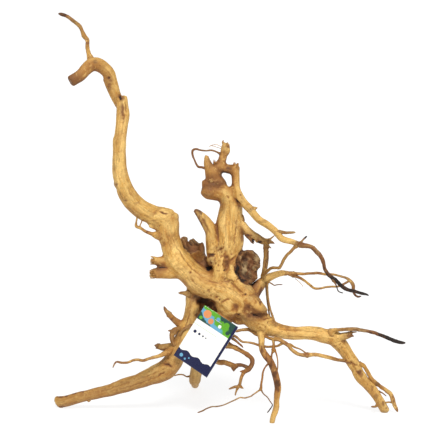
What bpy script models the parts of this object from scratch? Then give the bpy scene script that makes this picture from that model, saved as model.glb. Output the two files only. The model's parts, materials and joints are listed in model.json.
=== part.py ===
"""Finger driftwood root standing on its root tips, with a stapled retail card.

Sizes are in millimetres until a mesh is made, and metres in the meshes. A limb is a list of points
(h, v, depth, radius): h to the right and v up in a drawing plane that faces the viewer, depth behind that
plane, and the limb's radius there. seen() gives such a point its place in space.
"""

import math

import bmesh
import bpy
from mathutils import Matrix, Vector

MM = 0.001

# The drawing plane and the eye that it is drawn for.
EYE_DISTANCE = 1600.0
EYE_DOWN = math.radians(8.0)
AIM_H = -18.4
AIM_V = 259.7
RIGHT = Vector((1.0, 0.0, 0.0))
UP = Vector((0.0, math.sin(EYE_DOWN), math.cos(EYE_DOWN)))
SIGHT = Vector((0.0, math.cos(EYE_DOWN), -math.sin(EYE_DOWN)))
EYE = RIGHT * AIM_H + UP * AIM_V - SIGHT * EYE_DISTANCE

# The middle of the model's footprint, seen from the drawing plane's zero.
FOOTPRINT_MIDDLE = Vector((-7.2, 79.0, 0.0))

# Wood.
WOOD_VOXEL = 2.2        # grid of the merged thick wood
THICK_SIDES = 14
LOBE = 0.045            # how uneven a thick limb's section is
SMOOTH_PASSES = 3
THICK_FACES = 5000      # triangles kept in the merged thick wood
SMOOTHING_LOSS = 0.55   # what merging and smoothing take off a thick limb's radius
RING_STEP = 0.9         # ring spacing along thick limbs, in radii
THINNEST = 0.65         # least twig radius

# Card and staple.
CARD_WIDTH = 52.0
CARD_HEIGHT = 74.0
CARD_THICK = 0.8
CARD_TURN = math.radians(18.5)      # turned about its long side, right edge nearer
CARD_LEAN = math.radians(32.0)      # long side's slant in the drawing plane
CARD_MIDDLE = (-31.3, 103.6, -1.0)
CARD_SAG = 1.6                      # bow across the card's width
CARD_COLUMNS = 12
CARD_MARGIN = 1.0                   # wood kept clear round the card's edges
CARD_CLEAR = 30.0                   # wood kept clear in front of the card's back
STAPLE_WIRE = 0.7
STAPLE_WIDTH = 11.0
STAPLE_LEG = 6.0
STAPLE_DOWN = 8.0                   # below the card's top edge
GAP = 0.3                           # between the card, the staple and the wood

# The floor that wears the root tips flat.
FLOOR_WIDTH = 600.0
FLOOR_DEEP = 40.0

WOOD_COLOUR = (0.62, 0.40, 0.17)
CARD_COLOUR = (0.86, 0.86, 0.80)
STEEL_COLOUR = (0.55, 0.56, 0.58)


def seen(h, v, depth):
    """The point seen at (h, v) in the drawing plane and lying depth behind it."""
    ray = RIGHT * h + UP * v - EYE
    return EYE + ray * ((EYE_DISTANCE + depth) / EYE_DISTANCE) - FOOTPRINT_MIDDLE


def depth_at_height(v, height):
    """The depth at which a point seen at v lies that high above the floor."""
    fall = UP.z * v - EYE.z
    return EYE_DISTANCE * ((height - EYE.z) / fall - 1.0)


def foot(h, v, height, radius):
    """A root tip's last point, low enough for the floor to wear a flat on it."""
    return (h, v, depth_at_height(v, height), radius)


def place(points):
    """A limb's points in space, each with its true radius."""
    placed = []
    for h, v, depth, radius in points:
        true_radius = radius * (EYE_DISTANCE + depth) / EYE_DISTANCE
        placed.append((seen(h, v, depth), max(true_radius, THINNEST)))
    return placed


def thicken(placed):
    """The same points, with the radius that smoothing will take off added."""
    return [(point, radius + SMOOTHING_LOSS) for point, radius in placed]


def smooth_path(placed):
    """More points on a smooth curve through the placed ones, spaced by the limb's thickness."""
    count = len(placed)
    path = [placed[0]]
    for i in range(count - 1):
        before = placed[max(i - 1, 0)]
        start, end = placed[i], placed[i + 1]
        after = placed[min(i + 2, count - 1)]
        length = (end[0] - start[0]).length
        steps = max(1, round(length / (RING_STEP * max(start[1], end[1]))))
        for k in range(1, steps + 1):
            t = k / steps
            point = catmull(before[0], start[0], end[0], after[0], t)
            radius = start[1] + (end[1] - start[1]) * t
            path.append((point, radius))
    return path


def catmull(p0, p1, p2, p3, t):
    """A Catmull-Rom curve from p1 to p2."""
    return 0.5 * (
        2.0 * p1 + (p2 - p0) * t
        + (2.0 * p0 - 5.0 * p1 + 4.0 * p2 - p3) * t * t
        + (3.0 * p1 - p0 - 3.0 * p2 + p3) * t * t * t
    )


def add_tube(bm, path, sides, lobe=0.0, flat_end=False):
    """A closed tube along a path of (point, radius). lobe makes its section uneven."""
    across = Vector((0.31, 0.87, 0.38))
    corner = 2.0 * math.pi / sides
    fair = math.sqrt(corner / math.sin(corner))     # gives the many-sided section a round one's area
    rings = []
    travelled = 0.0
    for i, (point, radius) in enumerate(path):
        ahead = path[min(i + 1, len(path) - 1)][0]
        behind = path[max(i - 1, 0)][0]
        along = (ahead - behind).normalized()
        travelled += (point - behind).length
        across = (across - along * across.dot(along)).normalized()
        other = along.cross(across)
        ring = []
        for k in range(sides):
            angle = corner * k
            swell = math.cos(2.0 * angle + 0.021 * travelled) + 0.7 * math.cos(3.0 * angle - 0.034 * travelled)
            reach = fair * radius * (1.0 + lobe * swell)
            offset = across * (reach * math.cos(angle)) + other * (reach * math.sin(angle))
            ring.append(bm.verts.new((point + offset) * MM))
        rings.append(ring)
    for low, high in zip(rings, rings[1:]):
        for k in range(sides):
            bm.faces.new((low[k], low[(k + 1) % sides], high[(k + 1) % sides], high[k]))
    close_tube(bm, rings[0][::-1], path[0], path[1], flat_end)
    close_tube(bm, rings[-1], path[-1], path[-2], flat_end)


def close_tube(bm, ring, end, inner, flat):
    """A blunt or flat end on a tube."""
    outward = (end[0] - inner[0]).normalized()
    bulge = 0.0 if flat else 0.45 * end[1]
    tip = bm.verts.new((end[0] + outward * bulge) * MM)
    for k in range(len(ring)):
        bm.faces.new((ring[k], ring[(k + 1) % len(ring)], tip))


def add_blob(bm, h, v, depth, size_h, size_v, size_depth, detail=3):
    """An egg-shaped lump, or a hollow's cutter, with half sizes along the drawing's axes."""
    centre = seen(h, v, depth)
    axes = Matrix((RIGHT, UP, SIGHT)).transposed()
    made = bmesh.ops.create_icosphere(bm, subdivisions=detail, radius=1.0)
    for vert in made["verts"]:
        x, y, z = vert.co
        vert.co = (centre + axes @ Vector((x * size_h, y * size_v, z * size_depth))) * MM


def add_slab(bm, centre, axes, size):
    """A box on three axes, in metres."""
    made = bmesh.ops.create_cube(bm, size=1.0)
    for vert in made["verts"]:
        vert.co = (centre + axes @ Vector([c * s for c, s in zip(vert.co, size)])) * MM


def new_object(name, bm, material=None):
    """A scene object from a bmesh."""
    mesh = bpy.data.meshes.new(name)
    bmesh.ops.recalc_face_normals(bm, faces=bm.faces)
    bm.to_mesh(mesh)
    bm.free()
    obj = bpy.data.objects.new(name, mesh)
    bpy.context.scene.collection.objects.link(obj)
    if material:
        mesh.materials.append(material)
    return obj


def make_material(name, colour, roughness, metallic=0.0):
    """A plain Principled material."""
    material = bpy.data.materials.new(name)
    material.use_nodes = True
    shader = material.node_tree.nodes["Principled BSDF"]
    shader.inputs["Base Color"].default_value = (*colour, 1.0)
    shader.inputs["Roughness"].default_value = roughness
    shader.inputs["Metallic"].default_value = metallic
    return material


def freeze(obj):
    """Keep the mesh that the modifiers make, and drop the modifiers."""
    graph = bpy.context.evaluated_depsgraph_get()
    mesh = bpy.data.meshes.new_from_object(obj.evaluated_get(graph))
    obj.modifiers.clear()
    obj.data = mesh


def merge(body):
    """Rebuild overlapping wood as one skin on a fine grid."""
    remesh = body.modifiers.new("merge", "REMESH")
    remesh.mode = "VOXEL"
    remesh.voxel_size = WOOD_VOXEL * MM
    freeze(body)


def combine(body, meshes, operation):
    """Join closed meshes to a body, or cut them from it."""
    group = bpy.data.collections.new("operands")
    bpy.context.scene.collection.children.link(group)
    for i, bm in enumerate(meshes):
        operand = new_object(f"operand_{i:02d}", bm)
        bpy.context.scene.collection.objects.unlink(operand)
        group.objects.link(operand)
    boolean = body.modifiers.new("combine", "BOOLEAN")
    boolean.operation = operation
    boolean.operand_type = "COLLECTION"
    boolean.collection = group
    boolean.solver = "MANIFOLD"
    freeze(body)
    for operand in list(group.objects):
        bpy.data.objects.remove(operand)
    bpy.data.collections.remove(group)


# Thick wood, one function for each main limb.

def crown_limbs():
    """The stump that every limb leaves from, drawn as the diagonal flow of its grain."""
    return [
        [(-66, 203, 13, 15.5), (-53, 191, 14, 14.8), (-40, 180, 14, 17.5), (-22, 173, 15, 20), (-2, 165, 15, 23),
         (12, 152, 14, 22), (25, 140, 12, 18), (36, 129, 13, 14.5), (48, 121, 14, 10.5)],
        [(-18, 178, 26, 18), (2, 172, 34, 19), (18, 160, 30, 16)],
        [(-20, 172, 36, 14), (-33, 153, 38, 11), (-43, 134, 33, 6.5)],
    ]


def crown_lumps(bm):
    """The two rounded lumps that fill the stump out below its hollow."""
    add_blob(bm, -2, 151, 8, 17, 17.5, 17)
    add_blob(bm, 11, 137, 15, 13, 12.8, 13)


def long_arm():
    """The tall arm, which rises at the left, bends twice and ends in a sawn stub."""
    lower = [
        (-53, 191, 14, 14), (-65.5, 203, 13, 15.5), (-71.5, 215, 13, 13.2), (-75.5, 228, 13, 12.2), (-79, 240, 12, 13.6),
        (-82, 255, 11, 14.4), (-96.3, 260.7, 8, 11.5), (-110, 267, 4, 11), (-124.2, 279.4, 0, 11),
        (-132.3, 292.5, -4, 10.6), (-136.5, 305, -7, 9.8), (-139, 316, -9, 9.2), (-139.5, 326, -10, 8.7),
        (-139.5, 336, -11, 8.4), (-139.5, 350, -10, 8.1), (-138, 362, -8, 7.4), (-136.5, 375, -5, 7.7),
        (-135.5, 387, -2, 8.2), (-136, 398, 0, 7.4), (-136.3, 410, 2, 6),
    ]
    upper = [
        (-138, 395, 6, 5), (-142, 406, 7, 6.6), (-146.3, 416, 6, 7.2), (-150, 428, 4, 8), (-152.7, 438, 1, 7.4),
        (-159.2, 445.3, -3, 7.4), (-166.3, 449.5, -7, 8), (-174, 449.6, -10, 8), (-181.3, 444, -14, 7.2),
        (-188.6, 436.2, -18, 7), (-201, 428.2, -22, 6.8),
    ]
    armpit = [(-84, 246, 10, 8), (-94, 247.5, 7, 4.6), (-103, 250, 4, 3.4)]
    corner = [(-96, 259, 8, 10.5), (-84, 260, 10, 11), (-76, 261.5, 10, 8.4)]
    return [lower, upper, armpit, corner]


def torso_limbs():
    """The upright stem, its bowl-shaped left side, and the head above them."""
    return [
        [(6, 156, 14, 16), (0, 173, 14, 17.5), (-5, 190, 15, 17.5), (-5, 208, 15, 16), (-3, 222, 14, 16),
         (-2, 236, 14, 16.6), (-3, 250, 14, 16), (-1.6, 262, 14, 14.2), (-0.5, 275, 14, 13), (-3, 286, 14, 13.4),
         (-7, 293, 14, 12)],
        [(-8, 216, 9, 8), (-12, 202, 5, 8.5), (-15, 189, 3, 8.5), (-18, 176, 5, 9)],
        [(2, 214, 10, 6.5), (-1, 202, 7, 7), (-2, 191, 4, 7.5), (6, 179, 2, 9), (16, 168, 3, 9.5), (22, 160, 5, 9)],
        [(-7, 289, 13, 12), (-18, 291.5, 12, 11.3), (-28, 293, 11, 11), (-34.5, 297, 9, 7.2)],
        [(-30, 297, 12, 7), (-34.5, 303, 10, 3.6), (-36, 306, 9, 2)],
        [(-12.5, 297, 15, 10.2), (-20, 306, 15, 9.4), (-22.7, 315, 14, 10.4), (-21.5, 322.5, 14, 9)],
        [(-26.5, 316, 12, 6.5), (-28.6, 324, 11, 5.8), (-29.8, 329.5, 11, 4.6), (-31.5, 336, 10, 1.6)],
        [(-15, 320, 14, 7.5), (-12, 329, 14, 5.8), (-9.6, 336, 14, 4.4), (-7.5, 342, 14, 6), (-7.5, 347, 14, 5.2),
         (-8.8, 351.5, 14, 2.6)],
        [(-14, 321, 14, 5.5), (-4, 319.3, 13, 5.6), (3.5, 319, 12, 6.6), (8.3, 323.6, 11, 4.9)],
    ]


def horn():
    """The pointed spike between the long arm and the torso."""
    return [[(-46, 268.3, 2, 2), (-41.5, 264.7, 3, 4), (-37.5, 260.3, 4, 5.2), (-32.6, 254, 6, 6.8), (-28.3, 247, 7, 7.8),
             (-24.7, 239, 8, 8.2), (-22.8, 229, 9, 9), (-20.8, 216, 10, 10.3), (-17, 200, 11, 12)]]


def long_branch():
    """The branch that hangs from the head and swings out to the right, as far as it is thick."""
    return [[(4.8, 319, 11, 6.6), (5.6, 310, 10, 5.2), (5.6, 300, 8, 5.4), (7.5, 291, 5, 5.4), (12, 281, 1, 5.8),
             (18, 274.5, -3, 5), (24.5, 268, -8, 4.9), (29.6, 261.5, -12, 4.7), (36, 255, -17, 4.5),
             (43.5, 250.4, -21, 4.3), (50.5, 245.4, -25, 4.2), (56.7, 239.6, -28, 4.2), (62, 233, -30, 4),
             (67, 230.5, -32, 3.7), (75, 228.5, -34, 3.5), (82, 226, -36, 3.4)]]


def right_limbs():
    """The broken dark limb beside the torso, and the thick start of the root below it."""
    return [
        [(8, 254, 13, 5), (14, 249, 9, 5.2), (18, 244, 7, 5.2), (25, 238, 5, 5.1), (32, 233.5, 4, 5.2),
         (38, 229.5, 4, 4.6), (44, 227.5, 4, 3.8)],
        [(22, 159, 16, 11), (31, 168.5, 19, 8.4), (38, 176.5, 22, 6.4), (45, 182.5, 23, 4.8), (52, 186, 24, 4.3),
         (60, 188.5, 25, 3.8), (67, 189.3, 26, 3.4)],
        [(12, 164, 9, 9), (21, 157, 0, 8.8), (29, 151, -4, 7.3), (36, 146, -4, 5.8), (43, 140.5, 0, 3.4)],
    ]


def right_leg():
    """The right leg, which bends down at its elbow to a sawn tip."""
    return [
        [(36, 129, 13, 14), (48, 121, 14, 10.5), (60, 116.5, 14, 8.9), (70, 114.6, 15, 8.4), (80, 113.6, 16, 8.3),
         (92, 113.8, 17, 8.3), (105, 113, 19, 8.9), (115, 110.5, 21, 9.4), (125, 108.5, 23, 9.9),
         (133, 103, 25, 9.5), (140, 95, 27, 8.2), (146, 86, 29, 7.7), (152, 77, 31, 7.5), (157, 67, 33, 6.8),
         (162, 58, 35, 6.6), (169, 51, 37, 6.2), (175, 45, 39, 6.1), (180, 38, 40, 5.8), (185, 30, 42, 5.4),
         foot(192.4, 17.2, 1.6, 5.6)],
        [(126, 106, 22, 7), (136, 109, 18, 5), (145, 111, 15, 4.4), (150, 112.4, 13, 3)],
    ]


def left_leg():
    """The long left leg, from the hollow under the crown to its sawn end."""
    return [
        [(-44, 178, 22, 11), (-47, 163, 22, 9), (-48, 150, 22, 8.7), (-50, 139, 22, 8.3), (-53, 126, 22, 9),
         (-60, 110, 23, 9.4), (-66.5, 94, 25, 10), (-72.2, 79.5, 27, 11.7), (-81, 69.5, 30, 12), (-91, 64, 32, 11),
         (-100, 60.4, 35, 10), (-110, 56.2, 38, 9.2), (-120, 52.7, 41, 8.5), (-132, 49, 45, 8.7),
         (-145, 44.4, 49, 7.6), (-160, 40.3, 54, 6.9), (-175, 37, 58, 6.7), (-190, 33.2, 62, 6.8),
         (-205, 29, 66, 7), foot(-217.6, 27.2, 5.6, 7.4)],
        [(-66, 97, 26, 6.5), (-75, 97, 29, 5), (-84, 96.2, 32, 4.3), (-92, 97, 35, 2.6)],
        [(-58, 118, 24, 6), (-64, 125, 22, 4.6), (-70, 129.7, 20, 3.8), (-76, 135.5, 18, 3)],
    ]


def front_leg():
    """The slender leg that comes down nearest to the viewer."""
    return [[(34, 126, 12, 9), (37, 114, 9, 5.6), (38, 106, 6, 4), (38, 98, 4, 3.9), (39.5, 92, 3, 4.2),
             (43, 86, 2, 4.4), (48, 80, 1, 4.6), (51, 74, 0, 4.7), (53.3, 68, 0, 4.6), (55.5, 60, 0, 4.4),
             (57.5, 52, 0, 4.5), (58.5, 45, 0, 4.1), (57.5, 38, 0, 4.1), (56.5, 30, 1, 3.6), (56.2, 22, 2, 3.6),
             (54.5, 15, 3, 3.5), (52.3, 9, 3, 3.3), foot(50.7, 1.4, -0.9, 3.4)]]


def back_leg():
    """The root behind the card, which carries the stump at the back."""
    return [
        [(-14, 158, 34, 15), (-24, 134, 46, 12), (-32, 112, 62, 9.8), (-39, 90, 82, 8.2), (-43.2, 70, 104, 7.2),
         (-45.5, 57, 120, 7.0), (-45.4, 52.4, 142, 5.3), foot(-45.2, 48.2, 1.6, 3.8)],
        [(4, 150, 24, 13), (-7, 138, 12, 9.5), (-16, 127, 6.5, 8.5), (-20, 114, 8, 6.2), (-16, 105, 13, 4.8),
         (-8, 100, 16, 3.8)],
    ]


def broken_stubs():
    """Snapped side limbs: the dark ones behind the long arm and beside the torso, and two at the far left."""
    return [
        [(-26, 190, 30, 11), (-37, 200, 33, 10.5), (-44.5, 211, 32, 12), (-46.5, 223, 25, 13)],
        [(-52, 212, 30, 7), (-58, 222, 29, 5), (-59.2, 233, 28, 4.7)],
        [(2, 188, 42, 13), (14, 200, 24, 14.6), (24, 204, 5, 15)],
        [(-2, 178, 42, 13), (10, 189, 24, 14.6), (20.5, 190.5, 4, 15.5)],
        [(-68, 203, 14, 8), (-80, 204, 11, 6.2), (-90, 204, 9, 5.8), (-97, 204.3, 8, 4.9)],
        [(-66, 192, 14, 10), (-80, 189.5, 11, 7.6), (-90, 189, 9, 6.9), (-97.5, 188.5, 8, 5.8)],
        [(10, 178, 40, 13), (20, 184, 62, 9), (26, 188, 78, 6.5)],
        [(-12, 232, 22, 9), (-14, 240, 36, 6), (-16, 247, 46, 4)],
    ]


def hollows():
    """Cutters for the holes and hollow stub ends."""
    upper_face = bmesh.new()
    add_blob(upper_face, 24, 204, 2, 12.4, 12.4, 9)
    lower_face = bmesh.new()
    add_blob(lower_face, 20.5, 190.5, 1, 12.6, 13, 9)
    hollow_stub = bmesh.new()
    add_blob(hollow_stub, -46.5, 229, 19, 10.6, 14, 13)
    under_crown = bmesh.new()
    add_blob(under_crown, -31, 152, 8, 13, 6.5, 22)
    eye_hole = bmesh.new()
    add_blob(eye_hole, -28, 194.5, -4, 5.5, 4, 10)
    bowl = bmesh.new()
    add_blob(bowl, -14.5, 299.5, -1, 8, 6.8, 9)
    bowl_side = bmesh.new()
    add_blob(bowl_side, -25, 297.5, -3, 8.5, 4.6, 7)
    groove = bmesh.new()
    add_tube(groove, place([(-5, 220, -4, 3), (-6, 208, -4, 4), (-6, 196, -4, 4.5), (-4, 188, -6, 3)]), 8)
    return [upper_face, lower_face, hollow_stub, under_crown, eye_hole, bowl, bowl_side, groove]


# Thin wood, each twig a tube of its own that starts inside what it grows from.

def top_twigs():
    """Twigs on the long arm and on the head."""
    return [
        [(-172, 449, -9, 4.2), (-175.5, 456, -9, 3.2), (-178, 463, -8, 2.7), (-179.8, 472, -6, 2.4),
         (-180.2, 480, -3, 2.5), (-184.3, 486, 0, 2.9), (-186.5, 492, 2, 2.2), (-189.7, 498, 4, 2.4),
         (-195, 502.5, 6, 2.3), (-203, 508.3, 8, 2.1), (-209, 511.5, 9, 2.3), (-215.5, 513.4, 10, 2.1)],
        [(-83, 239, 9, 7), (-92, 236.5, 6, 4.4), (-99, 238, 3, 2.6), (-106, 240.5, 1, 1.9), (-113, 245, 0, 1.9),
         (-118.5, 247.5, 0, 1.9), (-118.7, 253, 1, 1.1), (-117.2, 260, 2, 1), (-115.5, 268, 3, 1)],
        [(-111.5, 243.8, 0, 1.3), (-114, 247.5, 1, 0.8), (-112, 253, 2, 0.8), (-110.5, 260, 4, 0.8)],
        [(-12, 337, 14, 2), (-17, 340, 13, 1.1), (-24, 342.4, 11, 1.1), (-31, 342, 9, 1), (-38, 342.5, 7, 1.1),
         (-44, 344, 6, 1.4), (-48, 342, 5, 1.5), (-48.3, 337, 5, 1.3), (-46.2, 331, 6, 1.1), (-43.8, 325.5, 7, 1.3),
         (-41, 321.8, 9, 1.5), (-36, 321, 11, 1.5), (-30, 319, 12, 2)],
        [(-8.8, 350, 14, 2), (-10.5, 353, 14, 1), (-9.5, 355, 13, 0.8)],
        [(-5, 346, 13, 3), (-4.6, 350.5, 12, 1.6), (-4.4, 352.5, 12, 0.8)],
    ]


def right_twigs():
    """Twigs to the right of the torso, nearest to the viewer first."""
    return [
        [(80, 226.8, -35, 3.2), (90, 223.3, -38, 3.1), (97, 222.5, -40, 3), (102, 220.5, -41, 3), (106, 216, -42, 3),
         (110, 212, -42, 3), (113.5, 207, -41, 2.7), (115.5, 200, -39, 2.4), (117.5, 193.5, -36, 2.3),
         (121, 188, -32, 2.5), (125, 184, -28, 2.6), (131, 179.5, -24, 2.3), (136, 174.5, -20, 2.4),
         (142, 170, -16, 2.4), (148, 167.5, -12, 2.2), (155, 166, -8, 2), (161, 164, -5, 2), (168, 162.5, -2, 1.4),
         (172, 161, 0, 0.8)],
        [(25, 267, -9, 4), (30, 270, -9, 2), (32.5, 270.5, -9, 1.5)],
        [(126, 182.5, -27, 2), (131, 174, -24, 0.9), (134, 166.3, -22, 0.8), (140, 164, -21, 0.7)],
        [(55, 240, -28, 3.4), (63, 240, -29, 2.1), (70, 239.5, -30, 1.8), (80, 240, -31, 1.8)],
        [(85, 225, -37, 2.2), (88, 228.5, -38, 1.3), (91, 232, -38, 1.2), (94.5, 235, -38, 1.5)],
        [(84, 225.5, -36, 2.6), (79, 221, -34, 2.1), (74, 215.5, -31, 2), (69, 210.5, -28, 2), (65, 204, -24, 2),
         (61.5, 197.3, -20, 1.9), (59, 195.3, -17, 1.9), (51, 195.5, -8, 1.8), (46, 192, 0, 1.9),
         (40, 186, 10, 2.5)],
        [(12, 253, 11, 4), (14, 258, 11, 2.2), (14.3, 262, 11, 1)],
        [(42.5, 228, 4, 3.2), (43.5, 220, 5, 2.7), (43, 210, 7, 2.7), (42, 200, 10, 2.7), (41, 190, 14, 3.1),
         (39, 181, 20, 4)],
        [(44, 223, 5, 1.6), (46, 213, 7, 1.1), (45.5, 203, 9, 1.1), (43.7, 194, 12, 1.3), (41, 186, 15, 2)],
        [(15, 243, 7, 3), (22, 234, 4, 2.1), (26, 228.5, 2, 2.2), (28, 225.5, 1, 1)],
        [(42, 228, 4, 3.2), (49, 228, 3, 2.1), (54, 226, 2, 1.1)],
        [(43, 228, 4, 2.6), (49, 232, 5, 1.2), (54, 236, 6, 0.8)],
        [(44, 226, 4, 2), (47, 222.5, 4, 1.2), (50, 220, 4, 0.7)],
        [(64, 189.2, 26, 3.5), (72, 188.7, 27, 2.6), (80, 188, 28, 2.1), (90, 188, 29, 1.9), (100, 188.5, 30, 1.8),
         (108, 189, 31, 1.8), (118, 187.5, 32, 1.6), (128, 187.3, 33, 1.4), (136, 185.2, 34, 1.3),
         (143, 183, 34, 1.5), (148, 180, 34, 2), (151, 176.5, 34, 2.3), (152.6, 173, 34, 2.4), (152.5, 168, 34, 2),
         (154, 163, 34, 1.5), (158, 159.5, 35, 1.4), (162.5, 160.3, 36, 0.8)],
        [(72, 188, 27, 2.4), (82, 184.5, 29, 1.9), (90, 180.5, 31, 1.8), (97, 175.3, 33, 1.8), (103, 170.3, 35, 1.7),
         (110, 169.7, 36, 1.5), (118, 171.3, 36, 1.5), (125, 172, 36, 1.3), (133, 172.2, 36, 1.3), (140, 175, 35, 1.3),
         (148, 179.5, 34, 1.5)],
        [(39, 176.5, 21, 3), (46, 177.3, 18, 1), (50, 176, 17, 0.9), (54, 173.7, 16, 0.8), (58, 174.5, 16, 0.7),
         (64, 174.5, 15, 0.7)],
        [(44, 182, 22, 2.5), (45, 173, 19, 1.3), (45.7, 165, 17, 1.2), (46.5, 155, 15, 1.2), (48.5, 145, 12, 1.3),
         (51, 137, 9, 1.4), (53.5, 129, 8, 1.7), (56, 121, 10, 2.5)],
        [(42, 180, 23, 2), (43.5, 171, 24, 1.1), (44, 162, 24, 1), (45.3, 152, 22, 1), (46.8, 142, 19, 1),
         (48, 133, 16, 1.3), (49, 124, 14, 2)],
        [(32, 152, 6, 4), (36.5, 152.5, 6, 2), (38.5, 153.3, 6, 0.9)],
    ]


def right_leg_twigs():
    """Roots that leave the right leg, and the ones that run in front of it."""
    return [
        [(40, 112, 9, 3), (45, 108.7, 4, 1.8), (50, 107, 0, 2.2), (56, 106, -4, 2.5), (61, 105, -6, 2.6),
         (66, 102, -8, 2.8), (72, 98, -9, 2.6), (75, 94, -10, 2.5), (80, 90, -10, 2.5), (86, 87.2, -10, 2.4),
         (95, 86.5, -8, 2.5), (103, 87, -6, 2.4), (112, 86, -3, 2.3), (120, 84, 1, 2.3), (128, 82, 6, 2.2),
         (134, 80.5, 11, 2.1), (143, 79, 20, 2.1), (149, 77, 26, 2.5), (154, 75, 31, 3)],
        [(68, 101, -9, 1.8), (75, 98.8, -8, 1.3), (80, 96, -6, 1.3), (85, 94.3, -6, 1), (90, 91.5, -6, 1),
         (95, 87.5, -8, 1.3)],
        [(122, 112, 18, 5), (128, 117, 14, 3.1), (134, 117.8, 12, 2.5), (141, 118.7, 10, 2.3), (150, 119, 8, 2.7),
         (158, 118.3, 6, 2.4), (168, 116.8, 4, 2.1), (176, 115.2, 2, 2.2), (184, 112.5, 0, 2.2),
         (192, 109.3, -2, 2.3), (199, 106.3, -4, 2.3), (206, 103.7, -6, 2.3), (212, 102.1, -8, 2),
         (217.5, 101.7, -10, 1.5)],
        [(147, 113.5, 13, 2.5), (152, 115, 11, 1.1), (157, 115.3, 10, 0.7)],
        [(147, 111.5, 14, 2), (151, 111, 13, 1), (153.5, 109.8, 12, 0.7)],
        [(150, 81, 30, 4), (158, 76, 30, 2.8), (165, 73, 30, 2.6), (169, 68, 31, 2.5), (172, 62, 33, 2.6),
         (176, 56, 35, 2.8), (180, 52, 37, 3), (185, 48.5, 38, 2.5), (190, 45, 39, 2.4), (195, 41.5, 40, 2.6),
         (199, 38, 41, 2.7), (201.5, 32, 42, 2.6), (203.5, 26, 43, 2.6), (206, 20, 43, 2.3), (208, 15.5, 43, 1.1)],
        [(185, 28, 43, 2.5), (192, 27, 43, 1.1), (198, 27.5, 43, 1.1), (204, 26, 43, 1.5)],
        [(179, 41, 40, 2.5), (187, 40, 41, 1), (191, 37.5, 41, 0.8), (194, 35, 42, 0.7)],
        [(185, 27, 42, 2.5), (180.5, 22.3, 42, 1.4), (175, 22, 42, 1.2)],
    ]


def front_leg_twigs():
    """Rootlets on the front leg."""
    return [
        [(50, 78, 1, 3), (46, 75.5, 0, 1.3), (42, 70.5, -3, 1), (39.6, 65, -5, 1.2), (39, 58, -7, 1.2),
         (37.6, 50, -8, 1.3), (36.8, 44, -8, 1.3), (33, 41, -8, 0.9), (28, 37.5, -8, 0.8), (24, 34.8, -7, 0.8),
         (17, 33, -6, 0.9), (11, 33.3, -4, 0.9), (5, 30.5, -1, 0.9), (-2, 27.3, 3, 0.9), (-9, 24.2, 7, 0.8),
         (-17, 22.3, 11, 0.9), (-24, 22, 14, 0.8), (-31, 19.5, 17, 0.9), (-36, 16.7, 20, 0.9), (-42, 14.5, 22, 0.7)],
        [(36.8, 45, -8, 1.2), (40, 38.5, -7, 0.8), (45, 34, -5, 0.7), (49, 28, -3, 0.7), (51.5, 24, -1, 0.7),
         (49, 19.5, 2, 0.7), (45, 14.5, 5, 0.7)],
        [(52.5, 106.5, -2, 2.2), (53, 100, -3, 1.8), (53, 93.5, -3, 2.1), (50.8, 88, -3, 1.2), (50.4, 83, -1, 1.2),
         (49.5, 77, 0, 2)],
        [(53, 94.5, -3, 1.9), (55.8, 89.5, -4, 1.1), (57.3, 84, -4, 0.9), (58.2, 77, -4, 0.9), (57.8, 69, -3, 0.9),
         (55.5, 61, -1, 1.2)],
    ]


def card_side_twigs():
    """Roots that come out from behind the card at its right edge."""
    return [
        [(-2, 134, 14, 4), (-3, 124, 13, 2.6), (1, 117.5, 12, 1.9), (6, 116.5, 11, 1.7), (11, 117.3, 11, 1.8),
         (17, 118.3, 12, 2), (22, 118.2, 13, 2.1), (27, 116, 13, 2.5), (34, 111, 10, 3)],
        [(-8, 130, 15, 4), (-6, 120, 12, 2.3), (-1, 113, 8, 1.9), (6, 109.3, 5, 1.6), (10, 106, 3, 1.5),
         (14, 103.2, 2, 1.5), (20, 102.4, 1, 1.4), (26, 101.5, 1, 1.4), (33, 99.5, 2, 1.6), (38, 98.2, 3, 1.6),
         (44, 97, 1, 1.3), (50, 97, -2, 1.4), (57, 97.7, -5, 1.4), (62, 100, -7, 1.7), (67, 102, -8, 2)],
        [(-7, 116, 10, 2.6), (0, 108.5, 6, 2.1), (6, 104, 4, 1.6), (10, 100.5, 3, 1.4), (13, 98, 2, 1.3),
         (15, 95.8, 2, 0.8)],
        [(-12, 102, 16, 4), (-4, 99, 14, 3.4), (5, 95.5, 12, 3.1), (13, 91, 9, 3), (20, 87, 6, 3.1), (25, 83, 4, 3.3),
         (26.6, 78, 2, 3), (25, 73, 0, 3), (21.5, 69, 0, 3.6), (16, 65, 0, 2.5), (13, 60, 0, 2.1), (11.5, 54, 0, 1.9),
         (9.8, 48, 0, 2), (4, 46.5, 1, 1.5), (-3, 44, 2, 0.9)],
        [(10, 49.5, 0, 1.9), (7.2, 44, 0, 1.5), (5.8, 40, 0, 1.2), (5, 36, 0, 0.9)],
        [(10.3, 48.5, 0, 1.6), (13, 46, 0, 1.3), (15.3, 44.8, 0, 0.9)],
        [(-39, 92, 80, 4.5), (-28, 84, 52, 3.6), (-16, 78, 25, 3.4), (-8, 76.8, 18, 3.1), (0, 74, 12, 3.3),
         (4, 72.3, 8, 3.6), (9.5, 74, 5, 2.3), (15, 73.3, 3, 2.1), (22, 70.5, 1, 2.8)],
        [(3.5, 72, 8, 2.6), (3, 66.5, 8, 1.8)],
        [(17, 66, 0, 1.5), (11, 66, 0, 0.9)],
    ]


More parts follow.
